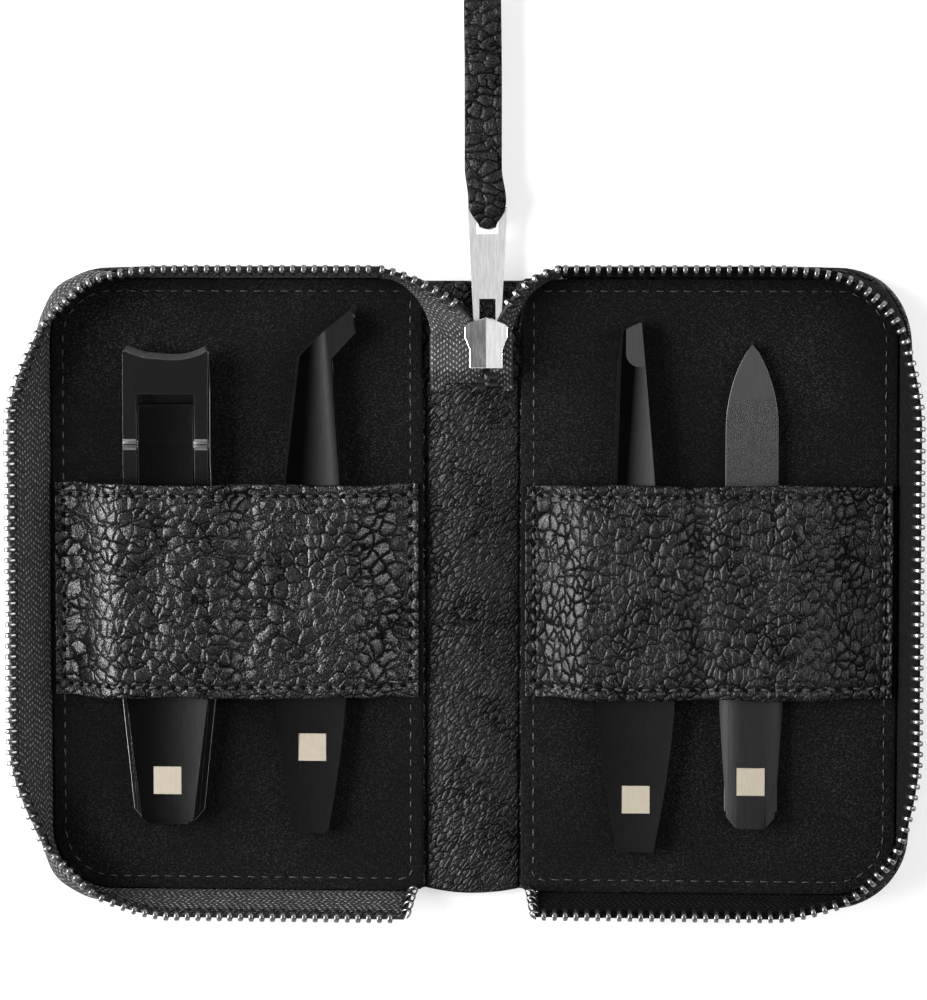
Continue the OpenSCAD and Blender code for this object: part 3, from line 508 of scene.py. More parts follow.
# Steels whose base colour carries the painted sheen
def paintedSheenSteel(name, build):
    metal[name + " steel"] = newMaterial(name + " steel", lambda t: brushedMetal(
        t, build(t, paintedSheen[name]), 0.98, 0.28, 0.35, (9000, 260, 9000)))


paintedSheenSteel("angled", tweezerPaintedSheen)
paintedSheenSteel("slant", tweezerPaintedSheen)
paintedSheenSteel("file", filePaintedSheen)
paintedSheenSteel("lever", leverPaintedSheen)


def gritCoat(tree):
    place = objectPosition(tree)
    grains = cells(tree, place, 5200.0)
    tone = ranged(tree, cloudy(tree, place, 3800.0, 3.0), 0.35, 0.7)
    return {"Base Color": blendColour(tree, tone, grey(14.85), grey(33.75)), "Roughness": 0.7,
            "Metallic": 0.3, "Normal": bumped(tree, 1 - grains * 1.4, 0.00012)}


def paleInlay(tree):
    place = make(tree, "ShaderNodeMapping", {}, {"Vector": objectPosition(tree), "Scale": (7000, 500, 500)})
    lines = cloudy(tree, place, 1.0, 3.0)
    return {"Base Color": blendColour(tree, lines, (0.216, 0.192, 0.152, 1), (0.3105, 0.276, 0.2185, 1)),
            "Metallic": 0.4, "Roughness": 0.42 + lines * 0.1}


metal["file grit"] = newMaterial("file grit", gritCoat)
metal["pale inlay"] = newMaterial("pale inlay", paleInlay)
print("finishes ready")


# The cover that carries each zip row, measured on the right-hand side; a size that differs has both sides
case = {
    "edgeX": 76.0, "edgeY": 55.2, "cornerR": 11.0, "foldX": 8.8, "liningTop": 2.6, "spineEnd": 54.8,
    "tapeOut": 0.3, "tapeFoot": 2.0, "tapeTop": 9.8, "pitch": 1.92, "zipTopX": 16.0, "zipBottomX": 11.8,
    "leanTop": 1.4, "leanSide": {-1: 6.2, 1: 3.2}, "leanBottom": {-1: 3.5, 1: 2.8}, "easeSide": 24.0,
    "easeEnd": 20.0, "bulge": {-1: 2.2, 1: 1.2}, "bulgeSpread": 8.5, "dip": 1.5,
}
sides = {-1: "left", 1: "right"}
cornerX, cornerY = case["edgeX"] - case["cornerR"], case["edgeY"] - case["cornerR"]
bendRun = case["cornerR"] * math.pi / 2
topEnd = cornerX - case["zipTopX"]
sideStart, sideEnd = topEnd + bendRun, topEnd + bendRun + 2 * cornerY
bottomStart = sideEnd + bendRun
rimRun = bottomStart + cornerX - case["zipBottomX"]
cornerRuns = (topEnd + bendRun / 2, sideEnd + bendRun / 2)


# Place and outward direction on the lining's outline after the length s, from the top of the spine round
def rimAt(s):
    s = np.asarray(s, float)
    turn = np.radians(np.interp(s, [topEnd, sideStart, sideEnd, bottomStart], [90, 0, 0, -90]))
    nx, ny = np.cos(turn), np.sin(turn)
    x = cornerX + case["cornerR"] * nx
    x = np.where(s < topEnd, case["zipTopX"] + s, np.where(s > bottomStart, cornerX - (s - bottomStart), x))
    y = np.where(s < sideStart, cornerY + case["cornerR"] * ny,
                 np.where(s < sideEnd, cornerY - (s - sideStart), -cornerY + case["cornerR"] * ny))
    return x, y, nx, ny


# The tape swells over the two outer corners: 1 at the middle of a corner, 0 far from both
def bulgeAt(s):
    a, b = cornerRuns
    return np.exp(-((s - a) / case["bulgeSpread"]) ** 2) + np.exp(-((s - b) / case["bulgeSpread"]) ** 2)


# How far the toothed edge leans outwards: most away from the corners, and a little inwards over them
def leanAt(s, side):
    s = np.asarray(s, float)
    a, b = cornerRuns
    top = case["leanTop"] * ease((a - s) / case["easeEnd"])
    outer = case["leanSide"][side] * ease(np.minimum(s - a, b - s) / case["easeSide"])
    bottom = case["leanBottom"][side] * ease((s - b) / case["easeEnd"])
    return np.where(s < a, top, np.where(s < b, outer, bottom)) - case["dip"] * bulgeAt(s)


# Middle of the tape at the length s and the share u of its height: offset outwards and height
def tapeAt(s, u, side):
    swell = case["bulge"][side] * np.sin(np.pi * np.minimum(u * 1.05, 1)) ** 1.2
    offset = case["tapeOut"] + (leanAt(s, side) - 0.05) * u ** 1.35 + bulgeAt(s) * swell
    return offset, mix(case["tapeFoot"], case["tapeTop"] - 0.1, u)


# Rows of rings joined into one skin; each ring is a closed loop of points
def sweepLoops(name, rings, material, uv=None):
    rings = np.asarray(rings, float)
    n, m = rings.shape[:2]
    faces = [(i * m + k, i * m + (k + 1) % m, (i + 1) * m + (k + 1) % m, (i + 1) * m + k)
             for i in range(n - 1) for k in range(m)]
    faces += [tuple(range(m))[::-1], tuple((n - 1) * m + k for k in range(m))]
    uvs = None if uv is None else np.asarray(uv, float).reshape(-1, 2)
    piece = newPiece(name, rings.reshape(-1, 3), faces, material, uvs)
    faceOutwards(piece)
    return piece


def faceOutwards(piece):
    mesh = bmesh.new()
    mesh.from_mesh(piece.data)
    bmesh.ops.recalc_face_normals(mesh, faces=mesh.faces)
    mesh.to_mesh(piece.data)
    mesh.free()


def onRim(s, offset, z, side):
    x, y, nx, ny = rimAt(s)
    return np.stack([side * (x + nx * offset), y + ny * offset, z + 0 * x], axis=-1)


# The cloth of a tape: half its thickness, the thicker cord along its toothed edge, and its ripples
cloth = {"half": 0.2, "cord": 0.16, "cordSpread": 0.06, "ripple": 0.10, "rippleTurn": 0.9}


# The tape that is sewn round each cover
def buildTape(side):
    h = cloth
    runs, us = np.linspace(0, rimRun, 260), np.linspace(0, 1, 15)
    offset, height = zip(*[tapeAt(runs, u, side) for u in us])
    offset, height = np.array(offset), np.array([z + 0 * runs for z in height])
    do, dh = np.gradient(offset, axis=0), np.gradient(height, axis=0)
    long = np.hypot(do, dh)
    thick = h["half"] + h["cord"] * np.exp(-((us - 1.0) / h["cordSpread"]) ** 2)[:, None]
    no, nh = dh / long * thick, -do / long * thick
    rings, uv = [], []
    for k, s in enumerate(runs):
        here = np.full(len(us), s)
        ripple = h["ripple"] * math.sin(s * h["rippleTurn"]) * np.sin(np.pi * us)
        inner = onRim(here, offset[:, k] - no[:, k] + ripple, height[:, k] - nh[:, k], side)
        outer = onRim(here, offset[:, k] + no[:, k] + ripple, height[:, k] + nh[:, k], side)
        rings.append(np.vstack([inner, outer[::-1]]))
        width = thereAndBack(runAlong(np.column_stack([offset[:, k], height[:, k]])))
        uv.append(np.column_stack([np.full(len(width), s), width]) * 0.001)
    # the right tape takes the copy darkened as painted shade
    tape = sweepLoops(sides[side] + "_tape", rings, shadedTape if side > 0 else zipTape, uv)
    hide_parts(sides[side] + "_zip_tape")
    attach(tape, sides[side] + "_cover")


# One zip tooth: a strip bent over the tape's edge and hollowed on its head. Half of its outline, from the
# foot up, is in shares of the half width and of the leg or the head. A row starts after so many pitches.
zipTooth = {
    "width": 1.75, "length": 0.78, "thick": 0.32, "leg": 1.25, "head": 1.0, "hollow": 0.5,
    "half": ((0.94, -1.0), (1.0, -0.4), (0.98, 0.1), (0.72, 0.58), (0.30, 0.80)),
    "start": {-1: 1.0, 1: 0.5}, "stop": 0.4, "lift": 0.05,
}


def buildTooth():
    z = zipTooth
    w = z["width"] / 2 - z["thick"] / 2
    half = [(w * a, b * (z["leg"] if b < 0 else z["head"])) for a, b in z["half"]]
    path = [(-y, h) for y, h in half] + half[::-1]
    rings = []
    for i, (y, h) in enumerate(path):
        before, after = path[max(i - 1, 0)], path[min(i + 1, len(path) - 1)]
        ty, tz = after[0] - before[0], after[1] - before[1]
        long = math.hypot(ty, tz)
        out, up = -tz / long * z["thick"] / 2, ty / long * z["thick"] / 2
        middle = z["hollow"] if 3 < i < 6 else 1.0
        section = ((-1, -0.4), (-1, 0.4), (-0.55, 1), (0, middle), (0.55, 1), (1, 0.4), (1, -0.4), (0, -1))
        rings.append([(x * z["length"] / 2, y + out * t, h + up * t) for x, t in section])
    tooth = sweepLoops("tooth_pattern", rings, metal["tooth nickel"])
    tooth.hide_render = True
    return tooth


# Sets copies of one small piece along a path, turned by the path's own "along" and "up" attributes
def repeatTree(name):
    tree = bpy.data.node_groups.new(name, "GeometryNodeTree")
    sockets = [("Geometry", "NodeSocketGeometry", None), ("Pattern", "NodeSocketObject", None),
               ("Spacing", "NodeSocketFloat", 0.002), ("Size jitter", "NodeSocketFloat", 0.0),
               ("Turn jitter", "NodeSocketFloat", 0.0), ("Seed", "NodeSocketInt", 7),
               ("Places as given", "NodeSocketBool", False), ("Finish", "NodeSocketMaterial", None)]
    for label, kind, value in sockets:
        socket = tree.interface.new_socket(label, in_out="INPUT", socket_type=kind)
        if value is not None:
            socket.default_value = value
    tree.interface.new_socket("Geometry", in_out="OUTPUT", socket_type="NodeSocketGeometry")
    given = tree.nodes.new("NodeGroupInput")
    value = {s.name: Value(tree, s) for s in given.outputs if s.name}

    def attribute(label):
        return make(tree, "GeometryNodeInputNamedAttribute", {"data_type": "FLOAT_VECTOR"}, {"Name": label})

    def jitter(amount, seedStep):
        spread = make(tree, "FunctionNodeRandomValue", {"data_type": "FLOAT"},
                      {"Min": -1.0, "Max": 1.0, "Seed": value["Seed"] + seedStep})
        return spread * amount

    curve = make(tree, "GeometryNodeMeshToCurve", {}, [value["Geometry"]])
    even = make(tree, "GeometryNodeResampleCurve", {"mode": "LENGTH"},
                {"Curve": curve, "Length": value["Spacing"]})
    spots = make(tree, "GeometryNodeSwitch", {"input_type": "GEOMETRY"},
                 {"Switch": value["Places as given"], "False": even, "True": value["Geometry"]})
    turn = make(tree, "FunctionNodeAxesToRotation", {"primary_axis": "Z", "secondary_axis": "X"},
                {"Primary Axis": attribute("up"), "Secondary Axis": attribute("along")})
    tilt = make(tree, "ShaderNodeCombineXYZ", {}, [jitter(value["Turn jitter"], step) for step in (1, 2, 3)])
    turned = make(tree, "FunctionNodeRotateRotation", {"rotation_space": "LOCAL"},
                  [turn, make(tree, "FunctionNodeEulerToRotation", {}, [tilt])])
    size = jitter(value["Size jitter"], 4) + 1
    pattern = make(tree, "GeometryNodeObjectInfo", {}, {"Object": value["Pattern"]}, out="Geometry")
    copies = make(tree, "GeometryNodeInstanceOnPoints", {},
                  {"Points": spots, "Instance": pattern, "Rotation": turned, "Scale": size})
    real = make(tree, "GeometryNodeRealizeInstances", {}, [copies])
    done = make(tree, "GeometryNodeSetMaterial", {}, {"Geometry": real, "Material": value["Finish"]})
    output = tree.nodes.new("NodeGroupOutput")
    tree.links.new(done.socket, output.inputs[0])
    return tree


repeatAlong = repeatTree("repeat along a path")


# Copies of a pattern along places, at even lengths or, where given, at each place, as one plain mesh
def repeatPattern(name, places, along, up, pattern, finish, spacing, sizeJitter, turnJitter, seed,
                  loop=False, given=False):
    edges = [(i, i + 1) for i in range(len(places) - 1)] + ([(len(places) - 1, 0)] if loop else [])
    mesh = bpy.data.meshes.new(name)
    mesh.from_pydata([tuple(float(c) * 0.001 for c in p) for p in places], edges, [])
    for label, vectors in (("along", along), ("up", up)):
        layer = mesh.attributes.new(label, "FLOAT_VECTOR", "POINT")
        layer.data.foreach_set("vector", np.asarray(vectors, np.float32).ravel())
    piece = bpy.data.objects.new(name, mesh)
    scene.collection.objects.link(piece)
    modifier = piece.modifiers.new("repeat", "NODES")
    modifier.node_group = repeatAlong
    wanted = {"Pattern": pattern, "Spacing": spacing * 0.001, "Size jitter": sizeJitter,
              "Turn jitter": turnJitter, "Seed": seed, "Places as given": given, "Finish": finish}
    for item in repeatAlong.interface.items_tree:
        if item.item_type == "SOCKET" and item.in_out == "INPUT" and item.name in wanted:
            modifier[item.identifier] = wanted[item.name]
    applyModifiers(piece)
    piece.data.shade_smooth()
    return piece


# Both zip rows; the left one starts half a pitch later, so that they mesh when the case is shut
def buildTeeth(side, tooth):
    pitch = case["pitch"]
    runs = np.arange(pitch * zipTooth["start"][side], rimRun - pitch * zipTooth["stop"], pitch)
    low, high = tapeAt(runs, 0.95, side), tapeAt(runs, 1.0, side)
    foot, edge = onRim(runs, *low, side), onRim(runs, *high, side)
    row = edge + [0, 0, zipTooth["lift"]]
    along = unitRows(np.gradient(row, axis=0))
    teeth = repeatPattern(sides[side] + "_teeth", row, along, unitRows(edge - foot), tooth,
                          metal["tooth nickel"], pitch, 0.02, 0.03, seed=11 + side, given=True)
    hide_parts(sides[side] + "_zip_teeth")
    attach(teeth, sides[side] + "_cover")


tooth = buildTooth()
for side in sides:
    buildTape(side)
    buildTeeth(side, tooth)
print("zip rows ready")


# Outline of the suede, as points from the spine side round to it again; xs are its places on the spine side
def outlineAt(inset, xs):
    r = case["cornerR"] - inset
    arc = np.linspace(0, np.pi / 2, 14)
    top = np.stack([cornerX + r * np.sin(arc), cornerY + r * np.cos(arc)], -1)
    low = np.stack([cornerX + r * np.cos(arc), -cornerY - r * np.sin(arc)], -1)
    start = np.array([(x, case["edgeY"] - inset) for x in xs], float).reshape(-1, 2)
    return np.vstack([start, top, low, start[::-1] * [1, -1]])


# The outer hide: its rounded edge rises into the wall that carries the tape, and its flat bends along the
# fold. Offsets run outwards from the suede's outline. A swell is the share of the corner's bulge.
shell = {
    "round": 2.6, "wall": 1.2, "gap": 0.6, "thick": 1.2, "under": 0.02, "flat": (-7.5, -5.0, -2.5),
    "outside": (3.2, 3.9, 4.5), "top": 4.95, "inside": (4.0, 3.2, 2.4), "leanFrom": 1.2, "leanOver": 8.6,
    "foldStart": 6.8, "foldEnd": 11.0, "foldEase": 1.6, "flatRound": 0.45, "cornerIn": 1.5,
}


def buildRim(side):
    h = shell
    foot, inner = h["gap"] + h["wall"], h["gap"]
    stops = ((0, topEnd, 40), (topEnd, sideStart, 16), (sideStart, sideEnd, 60), (sideEnd, bottomStart, 16),
             (bottomStart, rimRun, 40))
    runs = np.concatenate([np.linspace(a, b, n)[:-1] for a, b, n in stops] + [[rimRun]])
    lean, bulge = leanAt(runs, side), bulgeAt(runs)
    offsets, heights = [], []

    def line(offset, z, swell=0.0, leanZ=None):
        tilt = 0 if leanZ is None else 0.85 * lean * ((leanZ - h["leanFrom"]) / h["leanOver"]) ** 1.1
        offsets.append(offset + tilt + bulge * swell)
        heights.append(z + 0 * runs)

    for offset in (*h["flat"], foot - h["round"]):
        line(offset, h["under"])
    for a in np.linspace(0.2, 1.0, 5) * math.pi / 2:
        out, up = math.sin(a), 1 - math.cos(a)
        line(foot - h["round"] * (1 - out), h["round"] * up + h["under"], 0.35 * out)
    for z in h["outside"]:
        line(foot, z, 0.5, z)
    line(foot - 0.3, h["top"], 0.5, 4.9)
    line(inner + 0.25, h["top"] - 0.15, 0.6, 4.9)
    for z in h["inside"]:
        line(inner, z, 0.45, z)
    line(inner - 0.9, h["thick"] + 0.05)
    for offset in h["flat"][::-1]:
        line(offset, h["thick"])
    offsets, heights = np.array(offsets), np.array(heights)
    rings = [onRim(np.full(len(offsets), s), offsets[:, k], heights[:, k], side) for k, s in enumerate(runs)]
    rim = sweepLoops(sides[side] + "_rim_leather", rings, leather["cover"])
    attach(rim, sides[side] + "_cover")


# The flat of the cover with its half of the spine, in closer rows where it bends
def buildFlat(side):
    c, h = case, shell
    stops = ((0, 6.5, 4), (7, 12, 11), (14, c["edgeX"] + 0.2, 12))
    wallReach = c["edgeY"] + h["gap"] + h["wall"] - 0.8
    r = c["cornerR"] - h["cornerIn"]
    grid = []
    for x in np.concatenate([np.linspace(*stop) for stop in stops]):
        folded = mix(c["spineEnd"], wallReach, ease((x - c["foldX"]) / h["foldEase"]))
        reach = folded if x < 20 else c["edgeY"] + 0.4
        reach = min(reach, cornerY + h["cornerIn"] + math.sqrt(max(r ** 2 - max(x - cornerX, 0) ** 2, 0)))
        grid.append([(side * x, y * reach, 0) for y in np.linspace(-1, 1, 25)])
    flat = sheetSolid(sides[side] + "_cover_leather", np.array(grid), 0.0, h["thick"], leather["cover"],
                      h["flatRound"])
    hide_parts(sides[side] + "_outer_leather", sides[side] + "_edge_wall")
    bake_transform(flat)


# A closed sheet over a grid of points: under and upper heights, its rim rounded by the given radius
def sheetSolid(name, grid, under, upper, material, radius=0.0, uv=None):
    n, m = grid.shape[:2]
    layers = [np.broadcast_to(z, (n, m)) + grid[..., 2] for z in (upper, under)]
    spots = [(i, j) for i in range(n) for j in range(m)]
    points = [(grid[i, j, 0], grid[i, j, 1], z[i, j]) for i, j in spots for z in layers]

    def at(i, j, layer):
        return 2 * (i * m + j) + layer

    faces = []
    for i in range(n - 1):
        for j in range(m - 1):
            faces.append([at(i, j, 0), at(i + 1, j, 0), at(i + 1, j + 1, 0), at(i, j + 1, 0)])
            faces.append([at(i, j, 1), at(i, j + 1, 1), at(i + 1, j + 1, 1), at(i + 1, j, 1)])
    border = ([(i, 0) for i in range(n - 1)] + [(n - 1, j) for j in range(m - 1)]
              + [(i, m - 1) for i in range(n - 1, 0, -1)] + [(0, j) for j in range(m - 1, 0, -1)])
    for a, b in zip(border, border[1:] + border[:1]):
        faces.append([at(*a, 0), at(*a, 1), at(*b, 1), at(*b, 0)])
    uvs = None if uv is None else [uv[i][j] for i, j in spots for z in layers]
    piece = newPiece(name, points, faces, material, uvs)
    faceOutwards(piece)
    if radius:
        bevel = piece.modifiers.new("rounded edge", "BEVEL")
        bevel.width, bevel.segments, bevel.limit_method, bevel.angle_limit = radius * 0.001, 2, "ANGLE", 1.0
        applyModifiers(piece)
    piece.data.shade_smooth()
    return piece


for side in sides:
    buildRim(side)
    buildFlat(side)
print("outer leather ready")


# Suede trays: the sheet, whose edge has insets and heights, and the line of stitches inside it
lining = {
    "innerX": 8.8, "cornerIn": 1.5, "seam": 2.25, "stitch": 1.55, "spacing": 2.5, "thread": 0.12,
    "edge": ((0.1, 2.02), (0.1, 2.38), (0.2, 2.52), (0.45, 2.6), (1.6, 2.6), (2.1, 2.56), (2.6, 2.58),
             (5, 2.6)),
}


def buildStitch(name, long, thick, sag):
    rings = []
    for t in np.linspace(-1, 1, 7):
        r = thick * math.sqrt(max(1 - abs(t) ** 3, 0.04))
        rings.append([(t * long / 2, r * math.cos(a), r * math.sin(a) - sag * t * t)
                      for a in np.linspace(0, 2 * np.pi, 6, endpoint=False)])
    return sweepLoops(name, rings, liningThread)


def buildLining(side):
    h = lining
    a = np.linspace(0, np.pi / 2, 6)
    loops = []
    for inset, z in h["edge"]:
        r, x0, y0 = h["cornerIn"], h["innerX"] + inset - 0.1, case["edgeY"] - inset
        topIn = np.stack([x0 + r - r * np.cos(a), y0 - r + r * np.sin(a)], -1)
        loop = np.vstack([topIn, outlineAt(inset, []), (topIn * [1, -1])[::-1]])
        loops.append(np.column_stack([loop[:, 0] * side, loop[:, 1], np.full(len(loop), z)]))
    piece = sweepLoops(sides[side] + "_suede_tray", loops, suede)
    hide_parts(sides[side] + "_lining")
    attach(piece, sides[side] + "_cover")

    seam = outlineAt(h["seam"], [h["innerX"] + h["seam"]])
    corners = np.column_stack([seam[:, 0] * side, seam[:, 1], np.full(len(seam), case["liningTop"])])
    places = np.concatenate([np.linspace(p, q, max(2, int(np.linalg.norm(q - p) / 2)), endpoint=False)
                             for p, q in zip(corners, np.roll(corners, -1, 0))])
    along = unitRows(np.roll(places, -1, 0) - np.roll(places, 1, 0))
    up = np.tile([0, 0, 1.0], (len(places), 1))
    stitches = repeatPattern(sides[side] + "_lining_stitches", places, along, up, liningStitch, liningThread,
                             h["spacing"], 0.12, 0.10, seed=31 + side, loop=True)
    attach(stitches, sides[side] + "_cover")


liningStitch = buildStitch("lining_stitch", lining["stitch"], lining["thread"], 0.12)
for side in sides:
    buildLining(side)
print("linings ready")


# Leather strip along the inside of the spine, a little cushioned and wrinkled, and raised where it meets the
# zip. The wrinkles run aslant.
spine = {
    "half": 8.45, "top": 36.6, "edgeZ": 1.28, "rise": 1.15, "under": 1.21, "crown": 2.2, "foot": 0.8,
    "wrinkle": 0.28, "fine": 0.14, "seat": 0.75, "seatRun": (3.0, 2.2), "seatEdge": 0.35,
}


def buildSpine():
    h = spine
    grid, uv = [], []
    for x in np.linspace(-1, 1, 45):
        px, crown = x * h["half"], 1 - abs(x) ** h["crown"]
        row, places = [], []
        for v in np.linspace(-1, 1, 181):
            y = mix(0.1 - case["spineEnd"], h["top"], (v + 1) / 2)
            y -= h["foot"] * (1 - x * x) * float(ease((-0.9 - v) / 0.1))
            wrinkle = noise.noise(Vector((px * 0.16 + y * 0.10, y * 0.22 - px * 0.10, 3.1)))
            fine = noise.noise(Vector((px * 0.55, y * 0.33 - px * 0.35, 8.3)))
            seat = h["seat"] * float(ease((y - (h["top"] - h["seatRun"][0])) / h["seatRun"][1]))
            z = h["edgeZ"] + crown * (h["rise"] + h["wrinkle"] * wrinkle + h["fine"] * fine)
            row.append((px, y, z + seat * mix(h["seatEdge"], 1, crown)))
            places.append((px * 0.001, y * 0.001))
        grid.append(row)
        uv.append(places)
    grid = np.array(grid)
    under = np.minimum(h["under"] - grid[..., 2], -0.05)
    strip = sheetSolid("spine_strip_hide", grid, under, 0.0, leather["spine"], uv=uv)
    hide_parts("spine_strip", "spine_leather")
    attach(strip, "spine")


buildSpine()
print("spine ready")


# The two leather bands that hold the tools. A line gives the height of the underside over the tools, from the
# spine outwards, and a dip its place, width and depth. The grain is drawn out across and along the band.
bands = {
    "low": -19.8, "high": 18.5, "inner": 9.6, "outer": 75.2, "bottom": 2.62, "thick": 1.0, "steepest": 1.2,
    "seam": 2.0, "endSeam": 1.5, "seamSpread": 0.6, "spacing": 2.35, "dent": 0.30, "droop": 0.35,
    "folds": 0.32, "wrinkles": 0.16, "drift": 1.6, "wave": ((0.16, 0.21), (0.08, 0.63)),
    "line": {-1: [(12.2, 2.6), (21.85, 7.2), (36.25, 7.4), (45.2, 8.9), (62.6, 8.9), (72.6, 2.6)],
             1: [(12.2, 2.6), (21.6, 7.5), (37.0, 7.5), (44.4, 6.5), (56.6, 6.5), (72.6, 2.6)]},
    "dip": {-1: (40.7, 2.3, 1.0), 1: (40.7, 2.2, 1.2)},
    "grain": {-1: (1.0, 0.92), 1: (1.55, 0.95)},
}
# Length and thickness of a stitch and of the dark disc between two stitches that paints the shade of a hole,
# and how far their ends sink
bandSewing = {"stitch": (1.5, 0.26, 0.12), "hole": (0.85, 0.32, 0.0)}


def bandUnder(x, side):
    line = bands["line"][side]
    z = line[0][1]
    for (xa, za), (xb, zb) in zip(line, line[1:]):
        z = np.where(x > xa, mix(za, zb, ease((x - xa) / (xb - xa))), z)
    centre, spread, depth = bands["dip"][side]
    return z - depth * np.exp(-((x - centre) / spread) ** 2)


def noiseOver(a, b, layer):
    return np.array([noise.noise(Vector((p, q, layer))) for p, q in zip(a, b)])


# Height of the band's upper face: over the underside, with folds, a dented seam and a drooping edge
def bandTop(x, y, side):
    h = bands
    slope = (bandUnder(x + 0.2, side) - bandUnder(x - 0.2, side)) / 0.4
    lift = h["thick"] * np.sqrt(1 + np.minimum(np.abs(slope), h["steepest"]) ** 2)
    inside = ease((x - h["inner"] - 2.5) / 4) * ease((h["outer"] - 2.5 - x) / 4)
    folds = noiseOver(x * 0.17 + y * 0.05, y * 0.10 - x * 0.03, 5.0 + side)
    wrinkles = noiseOver(x * 0.45, y * 0.32, 9.0 + side)
    edge = np.minimum(y - h["low"], h["high"] - y)
    ends = np.minimum(x - h["inner"], h["outer"] - x)
    row = (np.exp(-((edge - h["seam"]) / h["seamSpread"]) ** 2)
           + np.exp(-((ends - h["endSeam"]) / h["seamSpread"]) ** 2))
    relief = inside * (h["folds"] * folds + h["wrinkles"] * wrinkles)
    droop = h["droop"] * np.exp(-np.maximum(edge, 0) / h["seamSpread"]) * inside
    return bandUnder(x, side) + lift + relief - h["dent"] * np.minimum(row, 1) - droop


def buildBand(side, stitch, hole):
    h = bands

    def spread(a, b, n):
        ends = np.array([0, 0.25, 0.6])
        return np.concatenate([a + ends, np.linspace(a + 1.1, b - 1.1, n), (b - ends)[::-1]])

    def wave(x, k):
        (broad, broadTurn), (small, smallTurn) = h["wave"]
        return broad * math.sin(x * broadTurn + k) + small * math.sin(x * smallTurn + 2 * k)

    xs, ys = spread(h["inner"], h["outer"], 190), spread(h["low"], h["high"], 96)
    run = runAlong(np.column_stack([xs, bandUnder(xs, side)]))
    share = (ys - h["low"]) / (h["high"] - h["low"])
    across, along = h["grain"][side]
    grid, uv, under = [], [], []
    for x, r in zip(xs, run):
        here = np.full(len(ys), x)
        y = ys + wave(x, 1.0 + side) * share ** 6 + wave(x, 4.0 + side) * (1 - share) ** 6
        z = bandTop(here, ys, side)
        grid.append(np.stack([side * here, y, z], -1))
        under.append(np.maximum(z - h["thick"], h["bottom"]) - z)
        drift = [noise.noise_vector(Vector((x * 0.09, b * 0.07, 2.0 + side))) for b in ys]
        du, dv = h["drift"] * np.array(drift)[:, :2].T
        uv.append(np.column_stack([(r * across + du) * side, ys * along + dv]) * 0.001)
    piece = sheetSolid(sides[side] + "_band", np.array(grid), np.array(under), 0.0,
                       leather[sides[side] + " band"], uv=uv)
    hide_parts(sides[side] + "_tool_band")
    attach(piece, sides[side] + "_cover")

    def seam(label, start, end):
        (xa, ya), (xb, yb) = start, end
        x, y = np.linspace(xa, xb, 140), np.linspace(ya, yb, 140)
        places = np.column_stack([side * x, y, bandTop(x, y, side)])
        along = unitRows(np.gradient(places, axis=0))
        up = squareTo(along, np.tile([0.0, 0.0, 1.0], (len(x), 1)))
        thread = repeatPattern(sides[side] + label + "_stitches", places + up * 0.05, along, up, stitch,
                               bandThread, h["spacing"], 0.12, 0.30, seed=51)
        # near-black discs between the stitches paint the shade of the holes
        between = places + along * h["spacing"] / 2 + up * 0.10
        dots = repeatPattern(sides[side] + label + "_holes", between, along, up, hole, holeShade,
                             h["spacing"], 0.25, 0.5, seed=57)
        return [thread, dots]

    xa, xb = h["inner"] + h["endSeam"], h["outer"] - h["endSeam"]
    ya, yb = h["low"] + h["seam"], h["high"] - h["seam"]
    made = (seam("_upper", (xa, yb), (xb, yb)) + seam("_lower", (xa, ya), (xb, ya))
            + seam("_inner", (xa, ya), (xa, yb)) + seam("_outer", (xb, ya), (xb, yb)))
    threads = joinPieces(sides[side] + "_band_stitches", made[0::2])
    dots = joinPieces(sides[side] + "_band_stitch_holes", made[1::2])
    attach(threads, sides[side] + "_cover")
    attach(dots, sides[side] + "_cover")


def joinPieces(name, pieces):
    mesh = bmesh.new()
    for piece in pieces:
        mesh.from_mesh(piece.data)
    joined = bpy.data.meshes.new(name)
    mesh.to_mesh(joined)
    mesh.free()
    first = pieces[0].data
    joined.materials.append(first.materials[first.polygons[0].material_index])
    for face in joined.polygons:
        face.material_index = 0
    joined.shade_smooth()
    for piece in pieces:
        bpy.data.objects.remove(piece)
    whole = bpy.data.objects.new(name, joined)
    scene.collection.objects.link(whole)
    return whole


# A near-black disc over each stitch hole: painted shade where the hole is dark
def paintedHoleShade(tree):
    shadeMottle = cloudy(tree, objectPosition(tree), 3000.0)
    return {"Base Color": blendColour(tree, shadeMottle, grey(1.5), grey(5)), "Roughness": 0.95,
            "Specular IOR Level": 0.05}


holeShade = newMaterial("stitch hole painted shade", paintedHoleShade)
bandStitch = buildStitch("band_stitch", *bandSewing["stitch"])
stitchHoleShade = buildStitch("stitch_hole", *bandSewing["hole"])
for side in sides:
    buildBand(side, bandStitch, stitchHoleShade)
print("bands ready")


# The tape ends that run from the slider up to each zip row. Two curves carry one: the toothed row and the
# plain edge, each with the pulls at its tip and at the rim. The teeth fill a share of the row.
zipEnd = {
    "chainX": 2.8, "chainZ": 5.7, "partingY": 44.5, "tipX": 0.95, "tipY": 0.4, "plainX": 7.1, "plainY": 0.3,
    "rowPulls": ((1.5, 5.4, 0), (-5.6, -1.0, -1.6)), "plainPulls": ((0.2, 4.9, -3.4), (-4.6, -0.2, -0.3)),
    "plainRise": 0.4, "thick": 0.25, "cord": 0.14, "cordSpread": 0.07, "belly": 0.35, "teeth": (0.38, 0.985),
    "blendStart": {-1: -0.0055, 1: 0.0075}, "blendEnd": 0.0135,
}


def bezier(p, t):
    p = [np.asarray(q, float) for q in p]
    t = np.asarray(t, float)[:, None]
    return p[0] * (1 - t) ** 3 + 3 * p[1] * t * (1 - t) ** 2 + 3 * p[2] * t * t * (1 - t) + p[3] * t ** 3


